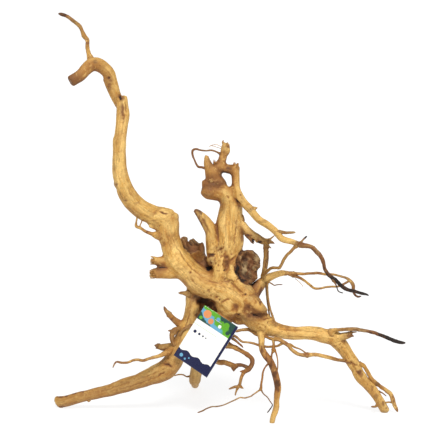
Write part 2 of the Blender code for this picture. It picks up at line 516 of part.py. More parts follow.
def left_leg_twigs():
    """Roots and spikes on the left leg and on the back root."""
    return [
        [(-67, 98, 24, 5), (-72.5, 95.5, 20, 3.6), (-76, 92.5, 17, 3.1), (-80, 89.7, 15, 2.7), (-87, 86.5, 12, 2.3),
         (-95, 84, 10, 2.1), (-103, 82, 8, 1.9), (-110, 79.7, 6, 1.8), (-117, 80.7, 4, 1.7), (-123, 79.8, 2, 1.7),
         (-130, 77.2, 0, 1.6), (-137, 77, -2, 1.6), (-143, 78, -3, 1.3), (-146, 75, -4, 1), (-148, 70.5, -4, 0.7)],
        [(-74, 133.5, 18, 3.2), (-78, 138, 17, 2.6), (-81.5, 142.5, 15, 2.2), (-84, 147, 14, 1.4)],
        [(-57, 121, 21, 5), (-66, 119.7, 17, 2.9), (-71, 116.7, 15, 2.8), (-74, 111, 14, 2.8), (-73, 104, 16, 2.7),
         (-67, 96, 20, 4)],
        [(-49, 124, 17, 3), (-54, 121.5, 11, 1.6), (-60, 118.5, 10, 1.6), (-63, 113.5, 13, 1.5), (-64, 108, 18, 2)],
        [(-70, 117, 16, 2), (-79, 117, 15, 0.9)],
        [(-90, 97.7, 34, 3), (-96, 98.8, 36, 0.9)],
        [(-89, 96, 34, 2), (-94.5, 95, 35, 0.7)],
        [(-79, 91, 16, 2), (-87, 89.8, 16, 0.8)],
        [(-178, 36, 59, 5), (-178, 28.5, 58, 3)],
        [(-88, 62, 31, 7), (-88, 53.5, 29, 3.2)],
        [(-46, 164, 20, 5), (-56, 163.5, 15, 3.1), (-61, 164, 12, 2.1), (-66, 164.3, 10, 0.8)],
        [(-45, 61, 116, 4), (-52, 60, 116, 1), (-56, 59.6, 114, 0.9), (-60, 61.8, 112, 0.9), (-66, 62, 110, 0.8),
         (-71, 60.5, 108, 0.7)],
    ]


def splinters():
    """Short fibres on the frayed stub ends, fanned out by a loop."""
    ends = [
        ((-93, 204.5, 8), (-1.0, 0.05), 4.0, 7.5),
        ((-94, 188.2, 8), (-1.0, -0.02), 4.8, 7.5),
        ((-46.5, 225, 35), (-0.1, 1.0), 8.5, 7.0),
        ((-36, 217, 27), (0.5, 0.8), 3.0, 6.0),
        ((147.5, 111.8, 14), (1.0, 0.2), 2.4, 6.0),
    ]
    twigs = []
    for (h, v, depth), (to_h, to_v), spread, length in ends:
        for k in range(4):
            side = spread * (k - 1.5) / 1.5
            reach = length * (0.75 + 0.25 * math.cos(2.4 * k + h))
            base_h, base_v = h - to_v * side, v + to_h * side
            base = (base_h, base_v, depth + 1.5 * math.sin(2.1 * k), 1.7)
            tip = (base_h + to_h * reach, base_v + to_v * reach, depth - 1.0 + math.sin(1.7 * k), 0.7)
            twigs.append([base, tip])
    return twigs


def sides_for(points):
    """How many sides a twig gets for its thickness."""
    thick = sum(point[3] for point in points) / len(points)
    if thick < 1.3:
        return 4
    return 5 if thick < 2.1 else 6


def card_axes():
    """The card's own axes: to its right, up its long side, and out of its printed face."""
    up = RIGHT * math.sin(CARD_LEAN) + UP * math.cos(CARD_LEAN)
    flat_right = RIGHT * math.cos(CARD_LEAN) - UP * math.sin(CARD_LEAN)
    right = flat_right * math.cos(CARD_TURN) - SIGHT * math.sin(CARD_TURN)
    return Matrix((right, up, right.cross(up))).transposed()


def staple_place():
    """The middle of the staple's back, on the card's face."""
    return seen(*CARD_MIDDLE) + card_axes() @ Vector((0.0, 0.5 * CARD_HEIGHT - STAPLE_DOWN, 0.5 * CARD_THICK))


def staple_holes():
    """Cutters for the two holes that the staple's legs stand in."""
    axes = card_axes()
    wide = STAPLE_WIRE + 2.0 * GAP
    centre_z = GAP + STAPLE_WIRE - 0.5 * STAPLE_LEG
    holes = []
    for side in (-1, 1):
        x = side * 0.5 * (STAPLE_WIDTH - STAPLE_WIRE)
        hole = bmesh.new()
        centre = staple_place() + axes @ Vector((x, 0.0, centre_z))
        add_slab(hole, centre, axes, (wide, wide, STAPLE_LEG + 2.0 * GAP))
        holes.append(hole)
    return holes


def card_room():
    """Cutter that clears the wood from the card and from the space in front of it."""
    axes = card_axes()
    back = -0.5 * CARD_THICK - GAP
    bm = bmesh.new()
    centre = seen(*CARD_MIDDLE) + axes @ Vector((0.0, 0.0, back + 0.5 * CARD_CLEAR))
    size = (CARD_WIDTH + 2.0 * CARD_MARGIN, CARD_HEIGHT + 2.0 * CARD_MARGIN, CARD_CLEAR)
    add_slab(bm, centre, axes, size)
    return bm


def make_root(wood):
    """All the wood as one body: thick limbs merged and smoothed, hollows cut, twigs joined, feet worn flat."""
    bm = bmesh.new()
    thick = (crown_limbs() + long_arm() + torso_limbs() + horn() + long_branch() + right_limbs() + right_leg()
             + left_leg() + front_leg() + back_leg() + broken_stubs())
    for points in thick:
        add_tube(bm, smooth_path(thicken(place(points))), THICK_SIDES, lobe=LOBE, flat_end=True)
    crown_lumps(bm)
    root = new_object("driftwood_root", bm, wood)

    merge(root)
    combine(root, hollows(), "DIFFERENCE")
    merge(root)
    smooth = root.modifiers.new("smooth", "SMOOTH")
    smooth.factor = 0.5
    smooth.iterations = SMOOTH_PASSES
    freeze(root)
    thin_out = root.modifiers.new("thin_out", "DECIMATE")
    thin_out.ratio = THICK_FACES / sum(len(face.vertices) - 2 for face in root.data.polygons)
    freeze(root)

    twigs = (top_twigs() + right_twigs() + right_leg_twigs() + front_leg_twigs() + card_side_twigs()
             + left_leg_twigs() + splinters())
    meshes = []
    for points in twigs:
        twig = bmesh.new()
        add_tube(twig, place(points), sides_for(points))
        meshes.append(twig)
    combine(root, meshes, "UNION")

    floor = bmesh.new()
    middle = Vector((0.0, 0.0, -0.5 * FLOOR_DEEP))
    add_slab(floor, middle, Matrix.Identity(3), (FLOOR_WIDTH, FLOOR_WIDTH, FLOOR_DEEP))
    combine(root, [floor, card_room()] + staple_holes(), "DIFFERENCE")
    return root


def make_card(paper):
    """The retail card, bowed a little across its width, with the staple's holes."""
    axes = card_axes()
    middle = seen(*CARD_MIDDLE)
    bm = bmesh.new()
    faces = []
    for side in (-0.5, 0.5):
        rows = []
        for top in (-0.5, 0.5):
            row = []
            for k in range(CARD_COLUMNS + 1):
                x = CARD_WIDTH * (k / CARD_COLUMNS - 0.5)
                bow = CARD_SAG * (2.0 * x / CARD_WIDTH) ** 2
                offset = axes @ Vector((x, CARD_HEIGHT * top, CARD_THICK * side + bow))
                row.append(bm.verts.new((middle + offset) * MM))
            rows.append(row)
        faces.append(rows)
    (back_low, back_high), (front_low, front_high) = faces
    for k in range(CARD_COLUMNS):
        bm.faces.new((front_low[k], front_low[k + 1], front_high[k + 1], front_high[k]))
        bm.faces.new((back_low[k], back_high[k], back_high[k + 1], back_low[k + 1]))
        bm.faces.new((back_low[k], back_low[k + 1], front_low[k + 1], front_low[k]))
        bm.faces.new((back_high[k], front_high[k], front_high[k + 1], back_high[k + 1]))
    for k in (0, CARD_COLUMNS):
        bm.faces.new((back_low[k], front_low[k], front_high[k], back_high[k]))
    card = new_object("hang_card", bm, paper)
    combine(card, staple_holes(), "DIFFERENCE")
    return card


def make_staple(steel):
    """The staple that holds the card on the root behind it: a U outline, thickened to the wire."""
    side, top = 0.5 * STAPLE_WIDTH, GAP + STAPLE_WIRE
    inner, tip = side - STAPLE_WIRE, top - STAPLE_LEG
    outline = [(-side, top), (side, top), (side, tip), (inner, tip), (inner, GAP), (-inner, GAP), (-inner, tip),
               (-side, tip)]
    axes = card_axes()
    bm = bmesh.new()
    rings = []
    for y in (-0.5 * STAPLE_WIRE, 0.5 * STAPLE_WIRE):
        rings.append([bm.verts.new((staple_place() + axes @ Vector((x, y, z))) * MM) for x, z in outline])
    low, high = rings
    bm.faces.new(low)
    bm.faces.new(high[::-1])
    for k in range(len(outline)):
        after = (k + 1) % len(outline)
        bm.faces.new((low[k], high[k], high[after], low[after]))
    return new_object("card_staple", bm, steel)


for old in list(bpy.data.objects):
    bpy.data.objects.remove(old)
make_root(make_material("driftwood", WOOD_COLOUR, 0.75))
make_card(make_material("card", CARD_COLOUR, 0.45))
make_staple(make_material("staple_steel", STEEL_COLOUR, 0.35, 1.0))
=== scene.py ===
"""The looks of the finger driftwood root: fine-grained wood, its twigs, the printed card and its staple.

Sizes are in millimetres until a mesh is made, and metres in the meshes, as in the part's own source. A limb
is a list of points (h, v, depth, radius): h to the right and v up in a drawing plane that faces the viewer,
depth behind that plane, and the limb's radius there.
"""

import json
import math

import bmesh
import bpy
import numpy as np
from mathutils import Matrix, Vector, noise
from mathutils.bvhtree import BVHTree

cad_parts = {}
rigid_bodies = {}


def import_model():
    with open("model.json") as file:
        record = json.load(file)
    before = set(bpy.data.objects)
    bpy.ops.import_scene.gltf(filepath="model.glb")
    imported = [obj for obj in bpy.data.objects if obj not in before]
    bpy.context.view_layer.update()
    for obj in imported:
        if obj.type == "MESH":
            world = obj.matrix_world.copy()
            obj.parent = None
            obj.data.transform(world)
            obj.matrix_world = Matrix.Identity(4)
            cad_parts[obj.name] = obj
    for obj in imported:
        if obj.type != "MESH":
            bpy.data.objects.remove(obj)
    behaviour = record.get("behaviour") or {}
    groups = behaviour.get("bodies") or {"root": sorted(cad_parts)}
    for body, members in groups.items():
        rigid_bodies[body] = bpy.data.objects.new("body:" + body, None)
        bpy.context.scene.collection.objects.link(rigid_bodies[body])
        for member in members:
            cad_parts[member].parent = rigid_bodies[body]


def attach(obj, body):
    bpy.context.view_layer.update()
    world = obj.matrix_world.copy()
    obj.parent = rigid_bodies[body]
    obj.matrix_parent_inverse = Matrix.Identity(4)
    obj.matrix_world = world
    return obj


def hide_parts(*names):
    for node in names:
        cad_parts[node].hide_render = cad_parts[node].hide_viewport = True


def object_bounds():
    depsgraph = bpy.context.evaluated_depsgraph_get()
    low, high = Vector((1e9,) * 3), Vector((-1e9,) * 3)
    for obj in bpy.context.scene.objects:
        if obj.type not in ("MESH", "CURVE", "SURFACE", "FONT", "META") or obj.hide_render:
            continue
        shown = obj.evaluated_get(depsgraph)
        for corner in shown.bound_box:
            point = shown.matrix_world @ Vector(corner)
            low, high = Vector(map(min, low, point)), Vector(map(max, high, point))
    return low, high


MM = 0.001

# The drawing plane and the eye that it is drawn for.
EYE_DISTANCE = 1600.0
EYE_DOWN = math.radians(8.0)
AIM_H = -18.4
AIM_V = 259.7
RIGHT = Vector((1.0, 0.0, 0.0))
UP = Vector((0.0, math.sin(EYE_DOWN), math.cos(EYE_DOWN)))
SIGHT = Vector((0.0, math.cos(EYE_DOWN), -math.sin(EYE_DOWN)))
EYE = RIGHT * AIM_H + UP * AIM_V - SIGHT * EYE_DISTANCE
FRAME_WIDTH = 541.25     # how much of the drawing plane the photograph shows
FOOTPRINT_MIDDLE = Vector((-7.2, 79.0, 0.0))

# Wood.
WOOD_VOXEL = 1.33        # the grid that the thick limbs are merged on
SMOOTH_PASSES = 2
SMOOTHING_LOSS = 0.15    # the radius that smoothing takes off a limb
THICK_SIDES = 24
THICK_STEP = 1.6
LOBE = 0.045             # how far a thick limb is from round, as a share of its radius
THINNEST = 0.65
TWIG_STEP = 0.9
FIBRE_SHARE = 0.5        # how thick a torn fibre is beside a twig of the same table radius
FIBRE_ORDER = 1000       # limbs numbered from here are torn fibres
GAP = 0.3
FLOOR_CUTTER_WIDTH = 600.0
FLOOR_CUTTER_DEEP = 40.0

# Card and staple.
CARD_WIDTH = 52.0
CARD_HEIGHT = 74.0
CARD_THICK = 0.8
CARD_TURN = math.radians(18.5)
CARD_LEAN = math.radians(32.0)
CARD_MIDDLE = (-31.3, 103.6, -1.0)
CARD_SAG = 1.6
CARD_MARGIN = 1.0
CARD_CLEAR = 30.0
CARD_COLUMNS, CARD_ROWS = 52, 74
SHEET_THICK = 0.5
STAPLE_WIRE = 0.7
STAPLE_BEND = 1.0
STAPLE_WIDTH = 11.0
STAPLE_LEG = 6.0
STAPLE_DOWN = 8.0

# Relief of the thick wood. A grain's three sizes are two across the limb and one along it.
FILLET_PASSES = 22       # how far the valleys between joining limbs are filled
FLUTE_GRAIN = (6.5, 6.5, 60.0)
RIDGE_GRAIN = (9.0, 9.0, 75.0)
FINE_GRAIN = (2.6, 2.6, 22.0)
FOLD_GRAIN = (15.0, 15.0, 48.0)
WAVE_SIZE = 13.0
LUMP_SIZES = (19.0, 8.5)
WART_SIZE = 3.4
HOLE_SIZE = 3.0
STUMP = (2, 162, 48, 34)               # the crown's stump, as (h, v, half width, half height)
HEAD_CUP = (-19, 299, 17, 10)          # the cup under the head, in the same way
STUBS_BEHIND = ((20, 193), (-47, 215))  # where the two old stubs are seen
STUB_REACH = 17
MARKS_FADE = (26.0, 40.0)              # the depths over which the marks of the crown's front fade out
MARKS_HALF_WIDTH = 62.0                # how far from the middle they do so
SAW_SLANT = {(-217.6, 27.2): 0.45}     # how far a sawn end leans out at its top, per mm of height
SAW_RIM = 3.0            # how far in from a sawn end's edge its rim is squared

# Painted shade in closed corners and on undersides.
SHADE_RAYS = 10
SHADE_REACH = 20.0
UNDERSIDE_SHADE = 0.13


def seen(h, v, depth):
    """The point seen at (h, v) in the drawing plane and lying depth behind it."""
    ray = RIGHT * h + UP * v - EYE
    return EYE + ray * ((EYE_DISTANCE + depth) / EYE_DISTANCE) - FOOTPRINT_MIDDLE


def depth_at_height(v, height):
    """The depth at which a point seen at v lies that high above the floor."""
    fall = UP.z * v - EYE.z
    return EYE_DISTANCE * ((height - EYE.z) / fall - 1.0)


def foot(h, v, height, radius):
    """A root tip's last point, low enough for the floor to wear a flat on it."""
    return (h, v, depth_at_height(v, height), radius)


def place(points):
    """A limb's points in space, each with its true radius."""
    placed = []
    for h, v, depth, radius in points:
        true_radius = radius * (EYE_DISTANCE + depth) / EYE_DISTANCE
        placed.append((seen(h, v, depth), max(true_radius, THINNEST)))
    return placed


def catmull(p0, p1, p2, p3, t):
    """A Catmull-Rom curve from p1 to p2."""
    return 0.5 * (
        2.0 * p1 + (p2 - p0) * t
        + (2.0 * p0 - 5.0 * p1 + 4.0 * p2 - p3) * t * t
        + (3.0 * p1 - p0 - 3.0 * p2 + p3) * t * t * t
    )


def drawing_place(points):
    """Where each point (n, 3) is seen in the drawing plane: h, v and its depth behind the plane."""
    rel = points + np.array(FOOTPRINT_MIDDLE) - np.array(EYE)
    away = rel @ np.array(SIGHT)
    on_plane = rel * (EYE_DISTANCE / away)[:, None] + np.array(EYE)
    return on_plane @ np.array(RIGHT), on_plane @ np.array(UP), away - EYE_DISTANCE


def smooth_step(x, low, high):
    """0 below low, 1 above high, and a soft rise between."""
    t = np.clip((x - low) / (high - low), 0.0, 1.0)
    return t * t * (3.0 - 2.0 * t)


def grain_noise(points, scale, seed=0.0):
    """Smooth noise, about -1 to 1, at points (n, 3) divided by scale (one number or three)."""
    scaled = points / np.array(scale) + seed
    return np.array([noise.noise(p) for p in scaled.tolist()])


class Limb:
    """A limb's centre line in fine steps, with its radius and an untwisted frame along it."""

    def __init__(self, points, step, order, grow=0.0):
        placed = place(points)
        centres, radii = [placed[0][0]], [placed[0][1]]
        last = len(placed) - 1
        for i in range(last):
            before, after = placed[max(i - 1, 0)], placed[min(i + 2, last)]
            start, end = placed[i], placed[i + 1]
            steps = max(1, round((end[0] - start[0]).length / step))
            for k in range(1, steps + 1):
                t = k / steps
                centres.append(catmull(before[0], start[0], end[0], after[0], t))
                radii.append(start[1] + (end[1] - start[1]) * t)
        self.order = order
        self.end_place = points[-1][:2]
        self.centre = np.array([tuple(c) for c in centres])
        self.radius = np.array(radii) + grow
        step_to = np.linalg.norm(np.diff(self.centre, axis=0), axis=1)
        self.travelled = np.concatenate([[0.0], np.cumsum(step_to)])
        ahead = np.vstack([self.centre[1:], self.centre[-1:]])
        behind = np.vstack([self.centre[:1], self.centre[:-1]])
        along = ahead - behind
        self.along = along / np.linalg.norm(along, axis=1)[:, None]
        across = np.array((0.31, 0.87, 0.38))
        sides = []
        for direction in self.along:
            across = across - direction * across.dot(direction)
            across = across / np.linalg.norm(across)
            sides.append(across)
        self.across = np.array(sides)
        self.other = np.cross(self.along, self.across)

    def flow(self, points, nearest):
        """Grain coordinates of points: two across the limb, one along it."""
        away = points - self.centre[nearest]
        a = np.einsum("ij,ij->i", away, self.across[nearest])
        b = np.einsum("ij,ij->i", away, self.other[nearest])
        s = self.travelled[nearest] + np.einsum("ij,ij->i", away, self.along[nearest])
        shift = 37.0 * self.order
        return np.stack([a + shift, b - shift, s + 3.0 * shift], axis=1)


def tube_rings(limb, sides, reach):
    """The points of a limb's rings for a reach (rings, sides), as (rings, sides, 3)."""
    angle = 2.0 * math.pi * np.arange(sides) / sides
    out_a = (reach * np.cos(angle))[:, :, None] * limb.across[:, None, :]
    out_b = (reach * np.sin(angle))[:, :, None] * limb.other[:, None, :]
    return limb.centre[:, None, :] + out_a + out_b


def tube_faces(rings, sides, first):
    """Faces of a closed tube whose two tip points follow its rings."""
    faces = []
    for i in range(rings - 1):
        low = first + i * sides
        for k in range(sides):
            after = (k + 1) % sides
            faces.append((low + k, low + after, low + sides + after, low + sides + k))
    tip_low, tip_high = first + rings * sides, first + rings * sides + 1
    top = first + (rings - 1) * sides
    for k in range(sides):
        after = (k + 1) % sides
        faces.append((first + after, first + k, tip_low))
        faces.append((top + k, top + after, tip_high))
    return faces


def new_object(name, bm):
    """A scene object from a bmesh."""
    mesh = bpy.data.meshes.new(name)
    bmesh.ops.recalc_face_normals(bm, faces=bm.faces)
    bm.to_mesh(mesh)
    bm.free()
    return link_mesh(name, mesh)


def link_mesh(name, mesh):
    """A scene object from a mesh."""
    obj = bpy.data.objects.new(name, mesh)
    bpy.context.scene.collection.objects.link(obj)
    return obj


def freeze(obj):
    """Keep the mesh that the modifiers make, and drop the modifiers."""
    graph = bpy.context.evaluated_depsgraph_get()
    mesh = bpy.data.meshes.new_from_object(obj.evaluated_get(graph))
    obj.modifiers.clear()
    obj.data = mesh


def merge(body):
    """Rebuild overlapping wood as one skin on a fine grid."""
    remesh = body.modifiers.new("merge", "REMESH")
    remesh.mode = "VOXEL"
    remesh.voxel_size = WOOD_VOXEL * MM
    freeze(body)


def cut_away(body, meshes):
    """Cut closed meshes from a body."""
    group = bpy.data.collections.new("cutters")
    bpy.context.scene.collection.children.link(group)
    for bm in meshes:
        cutter = new_object("cutter", bm)
        bpy.context.scene.collection.objects.unlink(cutter)
        group.objects.link(cutter)
    boolean = body.modifiers.new("cut", "BOOLEAN")
    boolean.operation = "DIFFERENCE"
    boolean.operand_type = "COLLECTION"
    boolean.collection = group
    boolean.solver = "MANIFOLD"
    freeze(body)
    for cutter in list(group.objects):
        bpy.data.objects.remove(cutter)
    bpy.data.collections.remove(group)


def add_tube(bm, path, sides):
    """A closed round tube along a path of (point, radius)."""
    across = Vector((0.31, 0.87, 0.38))
    rings = []
    for i, (point, radius) in enumerate(path):
        along = (path[min(i + 1, len(path) - 1)][0] - path[max(i - 1, 0)][0]).normalized()
        across = (across - along * across.dot(along)).normalized()
        other = along.cross(across)
        ring = []
        for k in range(sides):
            angle = 2.0 * math.pi * k / sides
            offset = (across * math.cos(angle) + other * math.sin(angle)) * radius
            ring.append(bm.verts.new((point + offset) * MM))
        rings.append(ring)
    for low, high in zip(rings, rings[1:]):
        for k in range(sides):
            bm.faces.new((low[k], low[(k + 1) % sides], high[(k + 1) % sides], high[k]))
    for ring, end in ((rings[0][::-1], path[0][0]), (rings[-1], path[-1][0])):
        tip = bm.verts.new(end * MM)
        for k in range(sides):
            bm.faces.new((ring[k], ring[(k + 1) % sides], tip))


def add_blob(bm, h, v, depth, size_h, size_v, size_depth, detail=4):
    """An egg-shaped lump, or a hollow's cutter, with half sizes along the drawing's axes."""
    centre = seen(h, v, depth)
    axes = Matrix((RIGHT, UP, SIGHT)).transposed()
    made = bmesh.ops.create_icosphere(bm, subdivisions=detail, radius=1.0)
    for vert in made["verts"]:
        x, y, z = vert.co
        vert.co = (centre + axes @ Vector((x * size_h, y * size_v, z * size_depth))) * MM


def add_slab(bm, centre, axes, size):
    """A box on three axes."""
    made = bmesh.ops.create_cube(bm, size=1.0)
    for vert in made["verts"]:
        vert.co = (centre + axes @ Vector([c * s for c, s in zip(vert.co, size)])) * MM


# Thick wood, one function for each main limb.

def crown_limbs():
    """The stump that every limb leaves from, drawn as the diagonal flow of its grain."""
    return [
        [(-66, 203, 13, 15.5), (-53, 191, 14, 14.8), (-40, 180, 14, 17.5), (-22, 173, 15, 20),
         (-2, 165, 15, 23), (12, 152, 14, 22), (25, 140, 12, 18), (36, 129, 13, 14.5), (48, 121, 14, 10.5)],
        [(-18, 178, 26, 18), (2, 172, 34, 19), (18, 160, 30, 16)],
        [(-20, 172, 36, 14), (-33, 153, 38, 11), (-43, 134, 33, 6.5)],
    ]


def crown_lumps(bm):
    """The two rounded lumps that fill the stump out below its hollow."""
    add_blob(bm, -2, 151, 8, 17, 17.5, 17)
    add_blob(bm, 11, 137, 15, 13, 12.8, 13)


def long_arm():
    """The tall arm, which rises at the left, bends twice and ends in a sawn stub."""
    lower = [
        (-53, 191, 14, 14), (-65.5, 203, 13, 15.5), (-71.5, 215, 13, 13.2), (-75.5, 228, 13, 12.2),
        (-79, 240, 12, 13.6),
        (-82, 255, 11, 14.4), (-96.3, 260.7, 8, 11.5), (-110, 267, 4, 11), (-124.2, 279.4, 0, 11),
        (-132.3, 292.5, -4, 10.6), (-136.5, 305, -7, 9.8), (-139, 316, -9, 9.2), (-139.5, 326, -10, 8.7),
        (-139.5, 336, -11, 8.4), (-139.5, 350, -10, 8.1), (-138, 362, -8, 7.4), (-136.5, 375, -5, 7.7),
        (-135.5, 387, -2, 8.2), (-136, 398, 0, 7.4), (-136.3, 410, 2, 6),
    ]
    upper = [
        (-138, 395, 6, 5), (-142, 406, 7, 6.6), (-146.3, 416, 6, 7.2), (-150, 428, 4, 8),
        (-152.7, 438, 1, 7.4),
        (-159.2, 445.3, -3, 7.4), (-166.3, 449.5, -7, 8), (-174, 449.6, -10, 8), (-181.3, 444, -14, 7.2),
        (-188.6, 436.2, -18, 7), (-201, 428.2, -22, 6.8),
    ]
    armpit = [(-84, 246, 10, 8), (-94, 247.5, 7, 4.6), (-103, 250, 4, 3.4)]
    corner = [(-96, 259, 8, 10.5), (-84, 260, 10, 11), (-76, 261.5, 10, 8.4)]
    return [lower, upper, armpit, corner]


def torso_limbs():
    """The upright stem, its bowl-shaped left side, and the head above them."""
    return [
        [(6, 156, 14, 16), (0, 173, 14, 17.5), (-5, 190, 15, 17.5), (-5, 208, 15, 16), (-3, 222, 14, 16),
         (-2, 236, 14, 16.6), (-3, 250, 14, 16), (-1.6, 262, 14, 14.2), (-0.5, 275, 14, 13),
         (-3, 286, 14, 13.4), (-7, 293, 14, 12)],
        [(-8, 216, 9, 8), (-12, 202, 5, 8.5), (-15, 189, 3, 8.5), (-18, 176, 5, 9)],
        [(2, 214, 10, 6.5), (-1, 202, 7, 7), (-2, 191, 4, 7.5), (6, 179, 2, 9), (16, 168, 3, 9.5),
         (22, 160, 5, 9)],
        [(-7, 289, 13, 12), (-18, 291.5, 12, 11.3), (-28, 293, 11, 11), (-34.5, 297, 9, 7.2)],
        [(-30, 297, 12, 7), (-34.5, 303, 10, 3.6), (-36, 306, 9, 2)],
        [(-12.5, 297, 15, 10.2), (-20, 306, 15, 9.4), (-22.7, 315, 14, 10.4), (-21.5, 322.5, 14, 9)],
        [(-26.5, 316, 12, 6.5), (-28.6, 324, 11, 5.8), (-29.8, 329.5, 11, 4.6), (-31.5, 336, 10, 1.6)],
        [(-15, 320, 14, 7.5), (-12, 329, 14, 5.8), (-9.6, 336, 14, 4.4), (-7.5, 342, 14, 6),
         (-7.5, 347, 14, 5.2), (-8.8, 351.5, 14, 2.6)],
        [(-14, 321, 14, 5.5), (-4, 319.3, 13, 5.6), (3.5, 319, 12, 6.6), (8.3, 323.6, 11, 4.9)],
    ]


def horn():
    """The pointed spike between the long arm and the torso."""
    return [
        [(-46, 268.3, 2, 2), (-41.5, 264.7, 3, 4), (-37.5, 260.3, 4, 5.2), (-32.6, 254, 6, 6.8),
         (-28.3, 247, 7, 7.8), (-24.7, 239, 8, 8.2), (-22.8, 229, 9, 9), (-20.8, 216, 10, 10.3),
         (-17, 200, 11, 12)],
    ]


def long_branch():
    """The branch that hangs from the head and swings out to the right, as far as it is thick."""
    return [
        [(4.8, 319, 11, 6.6), (5.6, 310, 10, 5.2), (5.6, 300, 8, 5.4), (7.5, 291, 5, 5.4),
         (12, 281, 1, 5.8), (18, 274.5, -3, 5), (24.5, 268, -8, 4.9), (29.6, 261.5, -12, 4.7),
         (36, 255, -17, 4.5), (43.5, 250.4, -21, 4.3), (50.5, 245.4, -25, 4.2), (56.7, 239.6, -28, 4.2),
         (62, 233, -30, 4), (67, 230.5, -32, 3.7), (75, 228.5, -34, 3.5), (82, 226, -36, 3.4)],
    ]


def right_limbs():
    """The broken dark limb beside the torso, and the thick start of the root below it."""
    return [
        [(8, 254, 13, 5), (14, 249, 9, 5.2), (18, 244, 7, 5.2), (25, 238, 5, 5.1), (32, 233.5, 4, 5.2),
         (38, 229.5, 4, 4.6), (44, 227.5, 4, 3.8)],
        [(22, 159, 16, 11), (31, 168.5, 19, 8.4), (38, 176.5, 22, 6.4), (45, 182.5, 23, 4.8),
         (52, 186, 24, 4.3), (60, 188.5, 25, 3.8), (67, 189.3, 26, 3.4)],
        [(12, 164, 9, 9), (21, 157, 0, 8.8), (29, 151, -4, 7.3), (36, 146, -4, 5.8), (43, 140.5, 0, 3.4)],
    ]


def right_leg():
    """The right leg, which bends down at its elbow to a sawn tip."""
    return [
        [(36, 129, 13, 14), (48, 121, 14, 10.5), (60, 116.5, 14, 8.9), (70, 114.6, 15, 8.4),
         (80, 113.6, 16, 8.3), (92, 113.8, 17, 8.3), (105, 113, 19, 8.9), (115, 110.5, 21, 9.4),
         (125, 108.5, 23, 9.9), (133, 103, 25, 9.5), (140, 95, 27, 8.2), (146, 86, 29, 7.7),
         (152, 77, 31, 7.5), (157, 67, 33, 6.8), (162, 58, 35, 6.6), (169, 51, 37, 6.2), (175, 45, 39, 6.1),
         (180, 38, 40, 5.8), (185, 30, 42, 5.4), foot(192.4, 17.2, 1.6, 5.6)],
        [(126, 106, 22, 7), (136, 109, 18, 5), (145, 111, 15, 4.4), (150, 112.4, 13, 3)],
    ]


def left_leg():
    """The long left leg, from the hollow under the crown to its sawn end."""
    return [
        [(-44, 178, 22, 11), (-47, 163, 22, 9), (-48, 150, 22, 8.7), (-50, 139, 22, 8.3), (-53, 126, 22, 9),
         (-60, 110, 23, 9.4), (-66.5, 94, 25, 10), (-72.2, 79.5, 27, 11.7), (-81, 69.5, 30, 12),
         (-91, 64, 32, 11), (-100, 60.4, 35, 10), (-110, 56.2, 38, 9.2), (-120, 52.7, 41, 8.5),
         (-132, 49, 45, 8.7), (-145, 44.4, 49, 7.6), (-160, 40.3, 54, 6.9), (-175, 37, 58, 6.7),
         (-190, 33.2, 62, 6.8), (-205, 29, 66, 7), foot(-217.6, 27.2, 5.6, 7.4)],
        [(-66, 97, 26, 6.5), (-75, 97, 29, 5), (-84, 96.2, 32, 4.3), (-92, 97, 35, 2.6)],
        [(-58, 118, 24, 6), (-64, 125, 22, 4.6), (-70, 129.7, 20, 3.8), (-76, 135.5, 18, 3)],
    ]


def front_leg():
    """The slender leg that comes down nearest to the viewer."""
    return [
        [(34, 126, 12, 9), (37, 114, 9, 5.6), (38, 106, 6, 4), (38, 98, 4, 3.9), (39.5, 92, 3, 4.2),
         (43, 86, 2, 4.4), (48, 80, 1, 4.6), (51, 74, 0, 4.7), (53.3, 68, 0, 4.6), (55.5, 60, 0, 4.4),
         (57.5, 52, 0, 4.5), (58.5, 45, 0, 4.1), (57.5, 38, 0, 4.1), (56.5, 30, 1, 3.6), (56.2, 22, 2, 3.6),
         (54.5, 15, 3, 3.5), (52.3, 9, 3, 3.3), foot(50.7, 1.4, -0.9, 3.4)],
    ]


def back_leg():
    """The root behind the card, which carries the stump at the back."""
    return [
        [(-14, 158, 34, 15), (-24, 134, 46, 12), (-32, 112, 62, 9.8), (-39, 90, 82, 8.2),
         (-43.2, 70, 104, 7.2), (-45.5, 57, 120, 7.0), (-45.4, 52.4, 142, 5.3), foot(-45.2, 48.2, 1.6, 3.8)],
        [(4, 150, 24, 13), (-7, 138, 12, 9.5), (-16, 127, 6.5, 8.5), (-20, 114, 8, 6.2),
         (-16, 105, 13, 4.8), (-8, 100, 16, 3.8)],
    ]


def broken_stubs():
    """Snapped side limbs: dark ones behind the long arm and beside the torso, and two at the far left."""
    return [
        [(-26, 190, 30, 11), (-37, 200, 33, 10.5), (-44.5, 211, 32, 12), (-46.5, 223, 25, 13)],
        [(-52, 212, 30, 7), (-58, 222, 29, 5), (-59.2, 233, 28, 4.7)],
        [(2, 188, 42, 13), (14, 200, 24, 14.6), (24, 204, 5, 15)],
        [(-2, 178, 42, 13), (10, 189, 24, 14.6), (20.5, 190.5, 4, 15.5)],
        [(-68, 203, 14, 8), (-80, 204, 11, 6.2), (-90, 204, 9, 5.8), (-97, 204.3, 8, 4.9)],
        [(-66, 192, 14, 10), (-80, 189.5, 11, 7.6), (-90, 189, 9, 6.9), (-97.5, 188.5, 8, 5.8)],
        [(10, 178, 40, 13), (20, 184, 62, 9), (26, 188, 78, 6.5)],
        [(-12, 232, 22, 9), (-14, 240, 36, 6), (-16, 247, 46, 4)],
    ]


